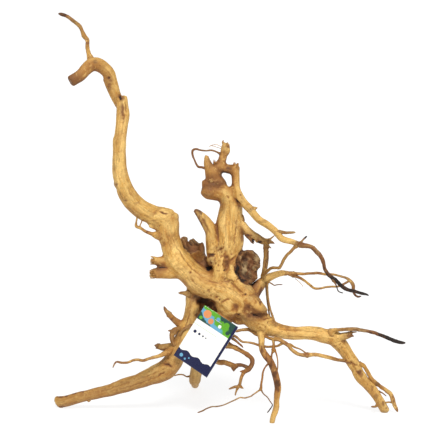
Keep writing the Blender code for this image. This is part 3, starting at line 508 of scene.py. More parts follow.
def hollows():
    """Cutters for the holes and hollow stub ends."""
    upper_face = bmesh.new()
    add_blob(upper_face, 24, 204, 2, 12.4, 12.4, 9)
    lower_face = bmesh.new()
    add_blob(lower_face, 20.5, 190.5, 1, 12.6, 13, 9)
    hollow_stub = bmesh.new()
    add_blob(hollow_stub, -46.5, 229, 19, 10.6, 14, 13)
    under_crown = bmesh.new()
    add_blob(under_crown, -31, 152, 8, 13, 6.5, 22)
    eye_hole = bmesh.new()
    add_blob(eye_hole, -28, 194.5, -4, 5.5, 4, 10)
    bowl = bmesh.new()
    add_blob(bowl, -14.5, 299.5, -1, 8, 6.8, 9)
    bowl_side = bmesh.new()
    add_blob(bowl_side, -25, 297.5, -3, 8.5, 4.6, 7)
    groove = bmesh.new()
    add_tube(groove, place([(-5, 220, -4, 3), (-6, 208, -4, 4), (-6, 196, -4, 4.5), (-4, 188, -6, 3)]), 8)
    return [upper_face, lower_face, hollow_stub, under_crown, eye_hole, bowl, bowl_side, groove]


# Thin wood, each twig a tube of its own that starts inside what it grows from.

def top_twigs():
    """Twigs on the long arm and on the head."""
    return [
        [(-172, 449, -9, 4.2), (-175.5, 456, -9, 3.2), (-178, 463, -8, 2.7), (-179.8, 472, -6, 2.4),
         (-180.2, 480, -3, 2.5), (-184.3, 486, 0, 2.9), (-186.5, 492, 2, 2.2), (-189.7, 498, 4, 2.4),
         (-195, 502.5, 6, 2.3), (-203, 508.3, 8, 2.1), (-209, 511.5, 9, 2.3), (-215.5, 513.4, 10, 2.1)],
        [(-83, 239, 9, 7), (-92, 236.5, 6, 4.4), (-99, 238, 3, 2.6), (-106, 240.5, 1, 1.9),
         (-113, 245, 0, 1.9), (-118.5, 247.5, 0, 1.9), (-118.7, 253, 1, 1.1), (-117.2, 260, 2, 1),
         (-115.5, 268, 3, 1)],
        [(-111.5, 243.8, 0, 1.3), (-114, 247.5, 1, 0.8), (-112, 253, 2, 0.8), (-110.5, 260, 4, 0.8)],
        [(-12, 337, 14, 2), (-17, 340, 13, 1.1), (-24, 342.4, 11, 1.1), (-31, 342, 9, 1),
         (-38, 342.5, 7, 1.1), (-44, 344, 6, 1.4), (-48, 342, 5, 1.5), (-48.3, 337, 5, 1.3),
         (-46.2, 331, 6, 1.1), (-43.8, 325.5, 7, 1.3), (-41, 321.8, 9, 1.5), (-36, 321, 11, 1.5),
         (-30, 319, 12, 2)],
        [(-8.8, 350, 14, 2), (-10.5, 353, 14, 1), (-9.5, 355, 13, 0.8)],
        [(-5, 346, 13, 3), (-4.6, 350.5, 12, 1.6), (-4.4, 352.5, 12, 0.8)],
    ]


def right_twigs():
    """Twigs to the right of the torso, nearest to the viewer first."""
    return [
        [(80, 226.8, -35, 3.2), (90, 223.3, -38, 3.1), (97, 222.5, -40, 3), (102, 220.5, -41, 3),
         (106, 216, -42, 3), (110, 212, -42, 3), (113.5, 207, -41, 2.7), (115.5, 200, -39, 2.4),
         (117.5, 193.5, -36, 2.3), (121, 188, -32, 2.5), (125, 184, -28, 2.6), (131, 179.5, -24, 2.3),
         (136, 174.5, -20, 2.4), (142, 170, -16, 2.4), (148, 167.5, -12, 2.2), (155, 166, -8, 2),
         (161, 164, -5, 2), (168, 162.5, -2, 1.4), (172, 161, 0, 0.8)],
        [(25, 267, -9, 4), (30, 270, -9, 2), (32.5, 270.5, -9, 1.5)],
        [(126, 182.5, -27, 2), (131, 174, -24, 0.9), (134, 166.3, -22, 0.8), (140, 164, -21, 0.7)],
        [(55, 240, -28, 3.4), (63, 240, -29, 2.1), (70, 239.5, -30, 1.8), (80, 240, -31, 1.8)],
        [(85, 225, -37, 2.2), (88, 228.5, -38, 1.3), (91, 232, -38, 1.2), (94.5, 235, -38, 1.5)],
        [(84, 225.5, -36, 2.6), (79, 221, -34, 2.1), (74, 215.5, -31, 2), (69, 210.5, -28, 2),
         (65, 204, -24, 2), (61.5, 197.3, -20, 1.9), (59, 195.3, -17, 1.9), (51, 195.5, -8, 1.8),
         (46, 192, 0, 1.9), (40, 186, 10, 2.5)],
        [(12, 253, 11, 4), (14, 258, 11, 2.2), (14.3, 262, 11, 1)],
        [(42.5, 228, 4, 3.2), (43.5, 220, 5, 2.7), (43, 210, 7, 2.7), (42, 200, 10, 2.7),
         (41, 190, 14, 3.1), (39, 181, 20, 4)],
        [(44, 223, 5, 1.6), (46, 213, 7, 1.1), (45.5, 203, 9, 1.1), (43.7, 194, 12, 1.3), (41, 186, 15, 2)],
        [(15, 243, 7, 3), (22, 234, 4, 2.1), (26, 228.5, 2, 2.2), (28, 225.5, 1, 1)],
        [(42, 228, 4, 3.2), (49, 228, 3, 2.1), (54, 226, 2, 1.1)],
        [(43, 228, 4, 2.6), (49, 232, 5, 1.2), (54, 236, 6, 0.8)],
        [(44, 226, 4, 2), (47, 222.5, 4, 1.2), (50, 220, 4, 0.7)],
        [(64, 189.2, 26, 3.5), (72, 188.7, 27, 2.6), (80, 188, 28, 2.1), (90, 188, 29, 1.9),
         (100, 188.5, 30, 1.8), (108, 189, 31, 1.8), (118, 187.5, 32, 1.6), (128, 187.3, 33, 1.4),
         (136, 185.2, 34, 1.3), (143, 183, 34, 1.5), (148, 180, 34, 2), (151, 176.5, 34, 2.3),
         (152.6, 173, 34, 2.4), (152.5, 168, 34, 2), (154, 163, 34, 1.5), (158, 159.5, 35, 1.4),
         (162.5, 160.3, 36, 0.8)],
        [(72, 188, 27, 2.4), (82, 184.5, 29, 1.9), (90, 180.5, 31, 1.8), (97, 175.3, 33, 1.8),
         (103, 170.3, 35, 1.7), (110, 169.7, 36, 1.5), (118, 171.3, 36, 1.5), (125, 172, 36, 1.3),
         (133, 172.2, 36, 1.3), (140, 175, 35, 1.3), (148, 179.5, 34, 1.5)],
        [(39, 176.5, 21, 3), (46, 177.3, 18, 1), (50, 176, 17, 0.9), (54, 173.7, 16, 0.8),
         (58, 174.5, 16, 0.7), (64, 174.5, 15, 0.7)],
        [(44, 182, 22, 2.5), (45, 173, 19, 1.3), (45.7, 165, 17, 1.2), (46.5, 155, 15, 1.2),
         (48.5, 145, 12, 1.3), (51, 137, 9, 1.4), (53.5, 129, 8, 1.7), (56, 121, 10, 2.5)],
        [(42, 180, 23, 2), (43.5, 171, 24, 1.1), (44, 162, 24, 1), (45.3, 152, 22, 1), (46.8, 142, 19, 1),
         (48, 133, 16, 1.3), (49, 124, 14, 2)],
        [(32, 152, 6, 4), (36.5, 152.5, 6, 2), (38.5, 153.3, 6, 0.9)],
    ]


def right_leg_twigs():
    """Roots that leave the right leg, and the ones that run in front of it."""
    return [
        [(40, 112, 9, 3), (45, 108.7, 4, 1.8), (50, 107, 0, 2.2), (56, 106, -4, 2.5), (61, 105, -6, 2.6),
         (66, 102, -8, 2.8), (72, 98, -9, 2.6), (75, 94, -10, 2.5), (80, 90, -10, 2.5),
         (86, 87.2, -10, 2.4), (95, 86.5, -8, 2.5), (103, 87, -6, 2.4), (112, 86, -3, 2.3),
         (120, 84, 1, 2.3), (128, 82, 6, 2.2), (134, 80.5, 11, 2.1), (143, 79, 20, 2.1), (149, 77, 26, 2.5),
         (154, 75, 31, 3)],
        [(68, 101, -9, 1.8), (75, 98.8, -8, 1.3), (80, 96, -6, 1.3), (85, 94.3, -6, 1), (90, 91.5, -6, 1),
         (95, 87.5, -8, 1.3)],
        [(122, 112, 18, 5), (128, 117, 14, 3.1), (134, 117.8, 12, 2.5), (141, 118.7, 10, 2.3),
         (150, 119, 8, 2.7), (158, 118.3, 6, 2.4), (168, 116.8, 4, 2.1), (176, 115.2, 2, 2.2),
         (184, 112.5, 0, 2.2), (192, 109.3, -2, 2.3), (199, 106.3, -4, 2.3), (206, 103.7, -6, 2.3),
         (212, 102.1, -8, 2), (217.5, 101.7, -10, 1.5)],
        [(147, 113.5, 13, 2.5), (152, 115, 11, 1.1), (157, 115.3, 10, 0.7)],
        [(147, 111.5, 14, 2), (151, 111, 13, 1), (153.5, 109.8, 12, 0.7)],
        [(150, 81, 30, 4), (158, 76, 30, 2.8), (165, 73, 30, 2.6), (169, 68, 31, 2.5), (172, 62, 33, 2.6),
         (176, 56, 35, 2.8), (180, 52, 37, 3), (185, 48.5, 38, 2.5), (190, 45, 39, 2.4),
         (195, 41.5, 40, 2.6), (199, 38, 41, 2.7), (201.5, 32, 42, 2.6), (203.5, 26, 43, 2.6),
         (206, 20, 43, 2.3), (208, 15.5, 43, 1.1)],
        [(185, 28, 43, 2.5), (192, 27, 43, 1.1), (198, 27.5, 43, 1.1), (204, 26, 43, 1.5)],
        [(179, 41, 40, 2.5), (187, 40, 41, 1), (191, 37.5, 41, 0.8), (194, 35, 42, 0.7)],
        [(185, 27, 42, 2.5), (180.5, 22.3, 42, 1.4), (175, 22, 42, 1.2)],
    ]


def front_leg_twigs():
    """Rootlets on the front leg."""
    return [
        [(50, 78, 1, 3), (46, 75.5, 0, 1.3), (42, 70.5, -3, 1), (39.6, 65, -5, 1.2), (39, 58, -7, 1.2),
         (37.6, 50, -8, 1.3), (36.8, 44, -8, 1.3), (33, 41, -8, 0.9), (28, 37.5, -8, 0.8),
         (24, 34.8, -7, 0.8), (17, 33, -6, 0.9), (11, 33.3, -4, 0.9), (5, 30.5, -1, 0.9),
         (-2, 27.3, 3, 0.9), (-9, 24.2, 7, 0.8), (-17, 22.3, 11, 0.9), (-24, 22, 14, 0.8),
         (-31, 19.5, 17, 0.9), (-36, 16.7, 20, 0.9), (-42, 14.5, 22, 0.7)],
        [(36.8, 45, -8, 1.2), (40, 38.5, -7, 0.8), (45, 34, -5, 0.7), (49, 28, -3, 0.7),
         (51.5, 24, -1, 0.7), (49, 19.5, 2, 0.7), (45, 14.5, 5, 0.7)],
        [(52.5, 106.5, -2, 2.2), (53, 100, -3, 1.8), (53, 93.5, -3, 2.1), (50.8, 88, -3, 1.2),
         (50.4, 83, -1, 1.2), (49.5, 77, 0, 2)],
        [(53, 94.5, -3, 1.9), (55.8, 89.5, -4, 1.1), (57.3, 84, -4, 0.9), (58.2, 77, -4, 0.9),
         (57.8, 69, -3, 0.9), (55.5, 61, -1, 1.2)],
    ]


def card_side_twigs():
    """Roots that come out from behind the card at its right edge."""
    return [
        [(-2, 134, 14, 4), (-3, 124, 13, 2.6), (1, 117.5, 12, 1.9), (6, 116.5, 11, 1.7),
         (11, 117.3, 11, 1.8), (17, 118.3, 12, 2), (22, 118.2, 13, 2.1), (27, 116, 13, 2.5),
         (34, 111, 10, 3)],
        [(-8, 130, 15, 4), (-6, 120, 12, 2.3), (-1, 113, 8, 1.9), (6, 109.3, 5, 1.6), (10, 106, 3, 1.5),
         (14, 103.2, 2, 1.5), (20, 102.4, 1, 1.4), (26, 101.5, 1, 1.4), (33, 99.5, 2, 1.6),
         (38, 98.2, 3, 1.6), (44, 97, 1, 1.3), (50, 97, -2, 1.4), (57, 97.7, -5, 1.4), (62, 100, -7, 1.7),
         (67, 102, -8, 2)],
        [(-7, 116, 10, 2.6), (0, 108.5, 6, 2.1), (6, 104, 4, 1.6), (10, 100.5, 3, 1.4), (13, 98, 2, 1.3),
         (15, 95.8, 2, 0.8)],
        [(-12, 102, 16, 4), (-4, 99, 14, 3.4), (5, 95.5, 12, 3.1), (13, 91, 9, 3), (20, 87, 6, 3.1),
         (25, 83, 4, 3.3), (26.6, 78, 2, 3), (25, 73, 0, 3), (21.5, 69, 0, 3.6), (16, 65, 0, 2.5),
         (13, 60, 0, 2.1), (11.5, 54, 0, 1.9), (9.8, 48, 0, 2), (4, 46.5, 1, 1.5), (-3, 44, 2, 0.9)],
        [(10, 49.5, 0, 1.9), (7.2, 44, 0, 1.5), (5.8, 40, 0, 1.2), (5, 36, 0, 0.9)],
        [(10.3, 48.5, 0, 1.6), (13, 46, 0, 1.3), (15.3, 44.8, 0, 0.9)],
        [(-39, 92, 80, 4.5), (-28, 84, 52, 3.6), (-16, 78, 25, 3.4), (-8, 76.8, 18, 3.1), (0, 74, 12, 3.3),
         (4, 72.3, 8, 3.6), (9.5, 74, 5, 2.3), (15, 73.3, 3, 2.1), (22, 70.5, 1, 2.8)],
        [(3.5, 72, 8, 2.6), (3, 66.5, 8, 1.8)],
        [(17, 66, 0, 1.5), (11, 66, 0, 0.9)],
    ]


def left_leg_twigs():
    """Roots and spikes on the left leg and on the back root."""
    return [
        [(-67, 98, 24, 5), (-72.5, 95.5, 20, 3.6), (-76, 92.5, 17, 3.1), (-80, 89.7, 15, 2.7),
         (-87, 86.5, 12, 2.3), (-95, 84, 10, 2.1), (-103, 82, 8, 1.9), (-110, 79.7, 6, 1.8),
         (-117, 80.7, 4, 1.7), (-123, 79.8, 2, 1.7), (-130, 77.2, 0, 1.6), (-137, 77, -2, 1.6),
         (-143, 78, -3, 1.3), (-146, 75, -4, 1), (-148, 70.5, -4, 0.7)],
        [(-74, 133.5, 18, 3.2), (-78, 138, 17, 2.6), (-81.5, 142.5, 15, 2.2), (-84, 147, 14, 1.4)],
        [(-57, 121, 21, 5), (-66, 119.7, 17, 2.9), (-71, 116.7, 15, 2.8), (-74, 111, 14, 2.8),
         (-73, 104, 16, 2.7), (-67, 96, 20, 4)],
        [(-49, 124, 17, 3), (-54, 121.5, 11, 1.6), (-60, 118.5, 10, 1.6), (-63, 113.5, 13, 1.5),
         (-64, 108, 18, 2)],
        [(-70, 117, 16, 2), (-79, 117, 15, 0.9)],
        [(-90, 97.7, 34, 3), (-96, 98.8, 36, 0.9)],
        [(-89, 96, 34, 2), (-94.5, 95, 35, 0.7)],
        [(-79, 91, 16, 2), (-87, 89.8, 16, 0.8)],
        [(-178, 36, 59, 5), (-178, 28.5, 58, 3)],
        [(-88, 62, 31, 7), (-88, 53.5, 29, 3.2)],
        [(-46, 164, 20, 5), (-56, 163.5, 15, 3.1), (-61, 164, 12, 2.1), (-66, 164.3, 10, 0.8)],
        [(-45, 61, 116, 4), (-52, 60, 116, 1), (-56, 59.6, 114, 0.9), (-60, 61.8, 112, 0.9),
         (-66, 62, 110, 0.8), (-71, 60.5, 108, 0.7)],
    ]


def card_axes():
    """The card's own axes: to its right, up its long side, and out of its printed face."""
    up = RIGHT * math.sin(CARD_LEAN) + UP * math.cos(CARD_LEAN)
    flat_right = RIGHT * math.cos(CARD_LEAN) - UP * math.sin(CARD_LEAN)
    right = flat_right * math.cos(CARD_TURN) - SIGHT * math.sin(CARD_TURN)
    return Matrix((right, up, right.cross(up))).transposed()


def staple_place():
    """The middle of the staple's back, on the card's face."""
    local = Vector((0.0, 0.5 * CARD_HEIGHT - STAPLE_DOWN, 0.5 * CARD_THICK))
    return seen(*CARD_MIDDLE) + card_axes() @ local


def card_room():
    """Cutter that clears the wood from the card and from the space in front of it."""
    axes = card_axes()
    back = -0.5 * CARD_THICK - GAP
    bm = bmesh.new()
    centre = seen(*CARD_MIDDLE) + axes @ Vector((0.0, 0.0, back + 0.5 * CARD_CLEAR))
    size = (CARD_WIDTH + 2.0 * CARD_MARGIN, CARD_HEIGHT + 2.0 * CARD_MARGIN, CARD_CLEAR)
    add_slab(bm, centre, axes, size)
    return bm


def inside_box(points):
    """Points (n, 3) held within the solid part's own box, and so above the floor."""
    return np.clip(points, np.array(cad_box[0]) / MM + 0.02, np.array(cad_box[1]) / MM - 0.02)


def keep_off_card(points, clear):
    """Points (n, 3) that lie in the card's room, moved back to clear behind the card."""
    axes = np.array(card_axes())
    local = (points - np.array(seen(*CARD_MIDDLE))) @ axes
    back = -0.5 * CARD_THICK - clear
    over = (np.abs(local[:, 0]) < 0.5 * CARD_WIDTH + 0.5) & (np.abs(local[:, 1]) < 0.5 * CARD_HEIGHT + 0.5)
    over &= (local[:, 2] > back) & (local[:, 2] < CARD_CLEAR)
    local[over, 2] = back
    moved = points.copy()
    moved[over] = (local @ axes.T + np.array(seen(*CARD_MIDDLE)))[over]
    return moved


# What the wood's surface shows, each placed by where it is seen. Lengths in millimetres.

def lumps_and_pits():
    """(h, v, half width, half height, height of the lump or depth of the pit below 0)."""
    return [
        (-139, 408, 3, 4.5, -1.6), (-153, 432, 6, 6, 1.0), (-153, 433, 2.2, 2.2, -1.8),
        (-158, 430, 4, 4, 0.8), (-84, 258, 7, 6, 0.9), (-125, 284, 6, 4, 0.8), (-136, 338, 4, 7, 0.7),
        (-140, 372, 4, 5, 0.6), (-51, 190, 7, 6, 1.4), (-51, 190, 2, 2, -1.2), (-28, 168, 8, 6, 1.2),
        (-28, 168, 3.4, 2.6, -1.4), (-18, 159, 1.8, 1.8, -1.5), (-14, 156, 1.6, 1.6, -1.4),
        (5.5, 147, 5, 4, -2.6), (8, 137, 2.6, 1.8, -1.6), (22, 134, 2.4, 1.8, -1.5), (-26, 205, 5, 5, 2.4),
        (-27, 211.5, 5.5, 2.2, -2.2), (-6, 205, 3, 10, -2.4), (-4, 284, 5, 5, 1.0),
        (-4, 284, 1.8, 1.8, -1.2), (-20, 298, 10, 6, 0.8), (-13, 299, 6, 4.5, 2.2), (-4, 320, 4, 2.5, -1.0),
        (160, 80, 3, 5, -1.4), (-80, 75, 5, 2, -1.3), (-43, 136, 4, 4, -1.0), (33, 137, 9, 2.2, -2.2),
        (36, 152, 3, 3, -1.5), (14, 152, 9, 5, 1.2), (0, 184, 7, 5, 1.0), (-38, 176, 6, 5, 1.1),
        (-62, 206, 6, 7, 1.0), (4, 266, 4, 8, 0.7), (-12, 246, 5, 9, 0.6), (84, 116, 8, 4, 0.8),
        (118, 112, 7, 5, 1.0), (133, 101, 6, 6, 0.9), (52, 119, 6, 5, 1.0), (-90, 67, 7, 5, 0.9),
        (-117, 56, 6, 4, 0.6), (-66, 92, 6, 7, 0.8), (-50, 140, 4, 7, 0.7),
    ]


def edge_lumps():
    """As lumps_and_pits, for corners and notches that the outline shows: they reach all round a limb."""
    return [
        (-68.5, 260.5, 3.6, 3.6, 2.4), (-80, 273, 6, 3, -1.0), (-74, 267, 3, 2, 0.8),
        (-146.5, 299, 2, 3, 1.1), (-145, 293, 2, 2, -0.8), (-148, 357, 3, 4, 0.7), (-130, 388, 3, 5, 0.6),
        (-128, 300, 3, 5, 0.6), (-55, 78, 4, 3, 1.2), (-97, 71, 4, 2, 0.8), (-120, 63, 3, 2, -0.6),
        (-150, 53, 4, 2, 0.7), (100, 123, 6, 2, 0.6), (118, 120, 4, 2, -0.6), (168, 62, 3, 4, 0.9),
        (150, 66, 3, 3, -0.7), (17, 228, 3, 6, 0.9), (14, 242, 3, 4, -0.7), (-22, 250, 3, 5, 0.7),
    ]


def cracks():
    """(points of the line, half width, depth, darkness)."""
    return [
        ([(4, 283), (7, 278.5), (12, 275)], 1.3, 1.5, 0.9),
        ([(-90, 266), (-84, 263.5), (-79, 262.5)], 1.3, 1.3, 0.7),
        ([(-19, 254), (-18, 245), (-16.5, 235), (-15, 226)], 1.5, 1.6, 0.55),
        ([(-39, 261), (-34, 253), (-30, 246), (-27, 237)], 1.8, 1.2, 0.5),
        ([(24, 139), (31, 136), (38, 133.5)], 1.3, 2.4, 1.0),
        ([(36, 131), (42, 131.5), (50, 133)], 1.1, 1.0, 0.5),
        ([(19, 161), (15, 152), (13.6, 144.4), (9, 140)], 3.0, -2.2, 0.0),
        ([(23, 151), (19, 143), (20, 136)], 2.4, 2.0, 0.12),
        ([(26, 154), (34, 146.5), (42, 138.5)], 5.0, -2.6, 0.0),
        ([(-3, 138), (3.6, 139), (10, 141.5)], 2.0, -1.3, 0.0),
        ([(-3, 141), (3, 142.5), (8, 145)], 1.4, 1.2, 0.2),
        ([(-14, 151), (-11.8, 152.6), (-6.5, 155.5), (-1, 157)], 1.3, 1.2, 0.35),
        ([(-8, 204), (-2, 208), (5, 213)], 1.7, -1.7, 0.0),
        ([(-5, 201), (0, 205), (5, 209)], 1.3, 1.2, 0.25),
        ([(5.5, 198), (6.5, 193), (9, 186), (15, 180), (22, 175)], 2.8, 1.6, 1.0),
        ([(15, 209), (11, 201), (12, 193)], 1.2, 1.0, 0.8),
        ([(21, 207), (23, 196), (19, 186)], 1.3, 1.0, 0.8),
        ([(29, 206), (26, 196), (29, 185)], 1.1, 0.8, 0.7),
        ([(137.5, 78.7), (150, 80.7), (162.5, 75.7)], 2.6, -1.8, 0.0),
        ([(138, 75.5), (150, 77), (160, 72.5)], 0.9, 0.9, 0.6),
        ([(-91, 59), (-88, 63), (-82, 66)], 1.2, 1.0, 0.5),
        ([(-86, 76), (-79, 75), (-73, 71)], 1.4, 1.3, 0.9),
        ([(-64, 215), (-57, 203), (-48, 193), (-38, 186), (-27, 181)], 1.3, 0.9, 0.3),
        ([(-72, 232), (-68, 221), (-60, 209), (-52, 200)], 1.0, 0.7, 0.22),
        ([(-2, 178), (8, 170), (18, 162)], 1.2, 0.9, 0.3),
        ([(-34, 181), (-24, 178), (-12, 176)], 1.2, 0.8, 0.25),
        ([(-52, 186), (-45, 176), (-36, 170)], 1.2, 0.8, 0.22),
        ([(6, 259), (6, 246), (4, 232), (3, 219)], 1.1, 0.8, 0.25),
        ([(-5, 268), (-7, 255), (-7, 242), (-6, 230)], 1.0, 0.6, 0.2),
        ([(60, 119), (78, 117), (96, 116.5), (112, 114)], 1.1, 0.7, 0.25),
        ([(55, 112), (74, 110), (92, 109), (110, 107)], 1.1, 0.7, 0.25),
        ([(137, 98), (146, 84), (155, 69), (166, 53)], 1.0, 0.6, 0.22),
        ([(-98, 257), (-104, 259), (-111, 263)], 1.0, 0.6, 0.25),
        ([(-121, 281), (-127, 290), (-131, 300)], 1.0, 0.6, 0.2),
        ([(-137, 330), (-137, 341), (-136, 350)], 0.9, 0.5, 0.2),
        ([(-135, 372), (-134, 383), (-134.5, 396)], 1.2, 0.8, 0.5),
        ([(-131.5, 388), (-132, 395), (-133, 403)], 0.9, 0.6, 0.4),
        ([(-80, 72), (-98, 63), (-120, 55), (-150, 45), (-180, 37)], 1.1, 0.7, 0.25),
        ([(-88, 61), (-110, 52.5), (-135, 45), (-165, 37)], 1.1, 0.7, 0.22),
        ([(-50, 158), (-51, 143), (-56, 126), (-64, 108)], 1.2, 0.9, 0.35),
        ([(56, 52), (57.5, 40), (56.5, 27)], 0.8, 0.5, 0.3),
        ([(35, 100), (38.5, 95), (41, 89)], 0.9, 0.7, 0.6),
    ]


def dark_places():
    """(h, v, half width, half height, darkness): black or blackish-brown wood, and painted shade in the
    hollow under the crown, beside the stump, and under lumps and stubs.
    """
    return [
        (-139, 408, 2.6, 3.6, 0.9), (-153, 433, 1.8, 1.8, 0.95), (-153, 425, 2.5, 1.6, 0.5),
        (-51, 190, 1.6, 1.6, 0.6), (-28, 168, 2.6, 1.9, 0.45), (-18, 159, 1.3, 1.3, 0.9),
        (-14, 156, 1.1, 1.1, 0.85), (6, 146.4, 3.6, 2.4, 0.5), (9, 137.2, 2, 1.3, 0.8),
        (22, 134.3, 3, 2.6, 0.55), (18, 162, 1.6, 2.6, 0.8), (-28, 194.5, 5, 4, 1.0),
        (-25, 210.5, 4.6, 2.4, 0.6), (-6, 200, 2, 4, 0.4), (-9, 192.3, 1.8, 1.4, 0.8),
        (-16, 191.5, 2.6, 1.3, 0.5), (-4, 190, 1.5, 1.2, 0.6), (-4, 320, 3, 1.6, 0.6),
        (160, 80, 1.8, 3.4, 0.6), (-43, 136, 2.6, 3, 0.6), (36, 152, 2, 2, 0.6), (-36, 154, 11, 5, 0.78),
        (-28, 150, 9, 5, 0.72), (-20, 144, 4, 4, 0.7), (-75, 131, 4, 2, 0.5), (-86, 196, 7, 1.6, 0.9),
        (148, 111, 5, 3, 0.5), (38, 93, 2, 6, 0.6), (44, 84, 2, 8, 0.6), (49.5, 74, 3, 8, 0.62),
        (54.5, 62, 4, 8, 0.66), (57.5, 51, 5, 7, 0.7), (58.3, 44, 3.4, 5, 0.62), (-43, 62, 2.4, 3, 0.35),
        (-214, 33.6, 5, 1.7, 0.5), (-205, 35.2, 5, 1.8, 0.55), (-196, 38, 5, 1.8, 0.55),
        (-187, 40.6, 5, 1.8, 0.5), (-211, 22, 6, 1.4, 0.5), (194, 20, 1.6, 1.6, 0.45),
        (-47, 54, 2, 2.4, 0.45), (-42, 50, 2, 2, 0.35), (31, 136, 6, 1.5, 0.8), (21, 146, 3, 2, 0.6),
        (-33, 206, 2, 3, 0.6), (38.5, 93, 2.5, 5, 0.5), (206, 18, 3, 4, 0.3), (-46.5, 266, 3, 3, 0.5),
        (-135.6, 391, 2.6, 12, 0.5), (-13.5, 300, 5.5, 4, 0.45), (37, 163, 4, 10, 0.6),
        (28, 160, 8, 3, 0.3), (2.3, 298.6, 1.3, 3, 0.55), (7.2, 302, 1.5, 1.5, 0.5),
        (11.7, 286.5, 2, 1.6, 0.6), (8.6, 279, 2, 1.4, 0.5), (-4, 347, 2, 3, 0.6),
        (-33.4, 299.5, 1.6, 3, 0.45), (29, 187, 5, 9, 0.38), (24, 210, 8, 4, 0.38),
        (7.5, 194, 2.4, 9, 0.95), (10.5, 185, 2.8, 5, 0.95), (15.5, 179.5, 5, 2.6, 0.85),
        (24.5, 203, 3.4, 4, 0.55), (20, 236, 4, 2.6, 0.7), (27, 229, 2.4, 4, 0.9),
        (35.5, 228, 4.5, 2.2, 0.85), (46, 212, 1.6, 4, 0.55), (43, 198, 1.6, 5, 0.55),
        (-24, 212.5, 6, 2, 0.75), (-31, 204, 2, 4, 0.6), (-20, 206, 2, 4, 0.4), (-44, 220, 11, 8, 0.42),
        (-56, 226, 5, 6, 0.3), (160, 65, 4, 3.4, 0.6), (89, 226, 8, 3, 0.55), (100, 221, 5, 2, 0.5),
        (112, 211, 3, 6, 0.5), (-137, 408, 4, 3, 0.45), (-152, 424, 3, 4, 0.4), (-151, 430, 3, 2, 0.4),
        (-131, 280, 3, 1.6, 0.4), (-143, 300, 2.5, 2, 0.4), (-140, 330, 1.4, 4, 0.35),
        (-98, 255, 6, 1.5, 0.35), (-40, 259, 2, 6, 0.4), (-36.5, 253, 2, 6, 0.35), (-31, 240, 2, 8, 0.35),
        (-17.5, 239, 1.2, 6, 0.4), (13, 236, 1.6, 10, 0.4), (24, 236, 4, 2, 0.5), (34, 231, 3, 3, 0.45),
        (41, 229, 2, 3, 0.3), (-38, 208, 3, 2, 0.4), (140, 104, 3, 2, 0.4), (162, 62, 3, 5, 0.4),
        (176, 45, 2.4, 6, 0.4), (190, 26, 2.5, 4, 0.45), (-100, 66, 4, 1.2, 0.35), (-160, 45, 6, 1.3, 0.3),
        (-185, 38, 6, 1.2, 0.35), (70, 121, 6, 1.3, 0.3), (104, 109, 5, 1.3, 0.3), (52, 128, 3, 3, 0.4),
    ]


def brown_places():
    """(h, v, half width, half height, amount): old dark brown wood that water hasn't worn bare, and painted
    shade under the crown and behind the right limbs.
    """
    return [
        (-27, 203, 8, 8, 0.6), (38, 163, 5, 9, 0.8), (-14, 219, 10, 6, 0.35), (-13, 301, 7, 4, 0.4),
        (-43, 262, 5, 6, 0.55), (-34, 252, 2.5, 12, 0.45), (-27, 298, 8, 5, 0.3), (-3, 319, 4, 4, 0.6),
        (-92, 196, 9, 4, 0.3), (25, 158, 5, 4, 0.3), (-58, 214, 3, 4, 0.3), (-137.5, 392, 2.5, 14, 0.45),
        (-153, 420, 4, 4, 0.45), (-170, 453, 3, 3, 0.6), (-198, 431, 6, 5, 0.35), (-146, 322, 2, 8, 0.5),
        (-145, 299, 3, 5, 0.6), (-132, 280, 3, 2, 0.5), (-117, 277, 4, 1.5, 0.4), (92, 225, 9, 5, 0.8),
        (117, 206, 8, 12, 0.85), (99, 222, 12, 5, 0.7), (84, 227, 10, 4, 0.6), (80, 185, 4, 2, 0.6),
        (110, 120, 3, 1.5, 0.5), (56, 124, 4, 2.5, 0.6), (139, 79, 4, 2.5, 0.8), (160, 66, 4, 4, 0.5),
        (181, 35, 3.5, 4, 0.55), (183, 51, 4, 3, 0.7), (-110, 59, 5, 2, 0.5), (-136, 53, 8, 2, 0.5),
        (-160, 43, 10, 2, 0.4), (-190, 36, 9, 2, 0.4), (-46, 57, 5, 3, 0.5), (62, 123, 5, 1.5, 0.3),
        (-70, 88, 4, 6, 0.35), (25, 268, 4, 3, 0.5), (14, 279, 3, 4, 0.35), (40, 253, 6, 2, 0.4),
        (-28, 287, 8, 3, 0.35), (-10, 270, 3, 12, 0.3), (12, 240, 2.5, 16, 0.35), (50, 141, 14, 8, 0.5),
        (193, 14.5, 5, 4, 0.6), (32, 234, 6, 3, 0.5), (44, 205, 4, 18, 0.55), (20, 133, 16, 5, 0.55),
        (30, 136, 12, 4, 0.5), (42, 172, 6, 10, 0.4), (36, 160, 9, 9, 0.45), (22, 172, 6, 5, 0.4),
        (44, 150, 7, 8, 0.5), (-52, 140, 6, 16, 0.35), (-44, 138, 5, 9, 0.5), (-91, 96, 9, 4, 0.6),
        (-76, 108, 5, 9, 0.5), (-42, 156, 13, 7, 0.8), (-80, 80, 8, 4, 0.3), (-138, 408, 5, 6, 0.5),
        (-152, 431, 6, 6, 0.4), (-8, 345, 4, 8, 0.35), (-28, 326, 5, 8, 0.3), (9, 321, 4, 5, 0.3),
        (56, 52, 4, 9, 0.5), (39, 94, 3, 8, 0.5), (-44, 62, 8, 14, 0.3), (156, 106, 5, 5, 0.4),
        (146, 111, 7, 4, 0.5),
    ]


def worn_places():
    """(h, v, half width, half height, amount): old wood worn to a pale grey-brown."""
    return [
        (193, 14.5, 6, 5, 1.4), (17, 192, 5, 9, 1.3), (32, 208, 2.6, 5, 0.9), (28.4, 193.5, 1.4, 3.5, 1.2),
        (15, 206, 3, 3, 0.6),
    ]


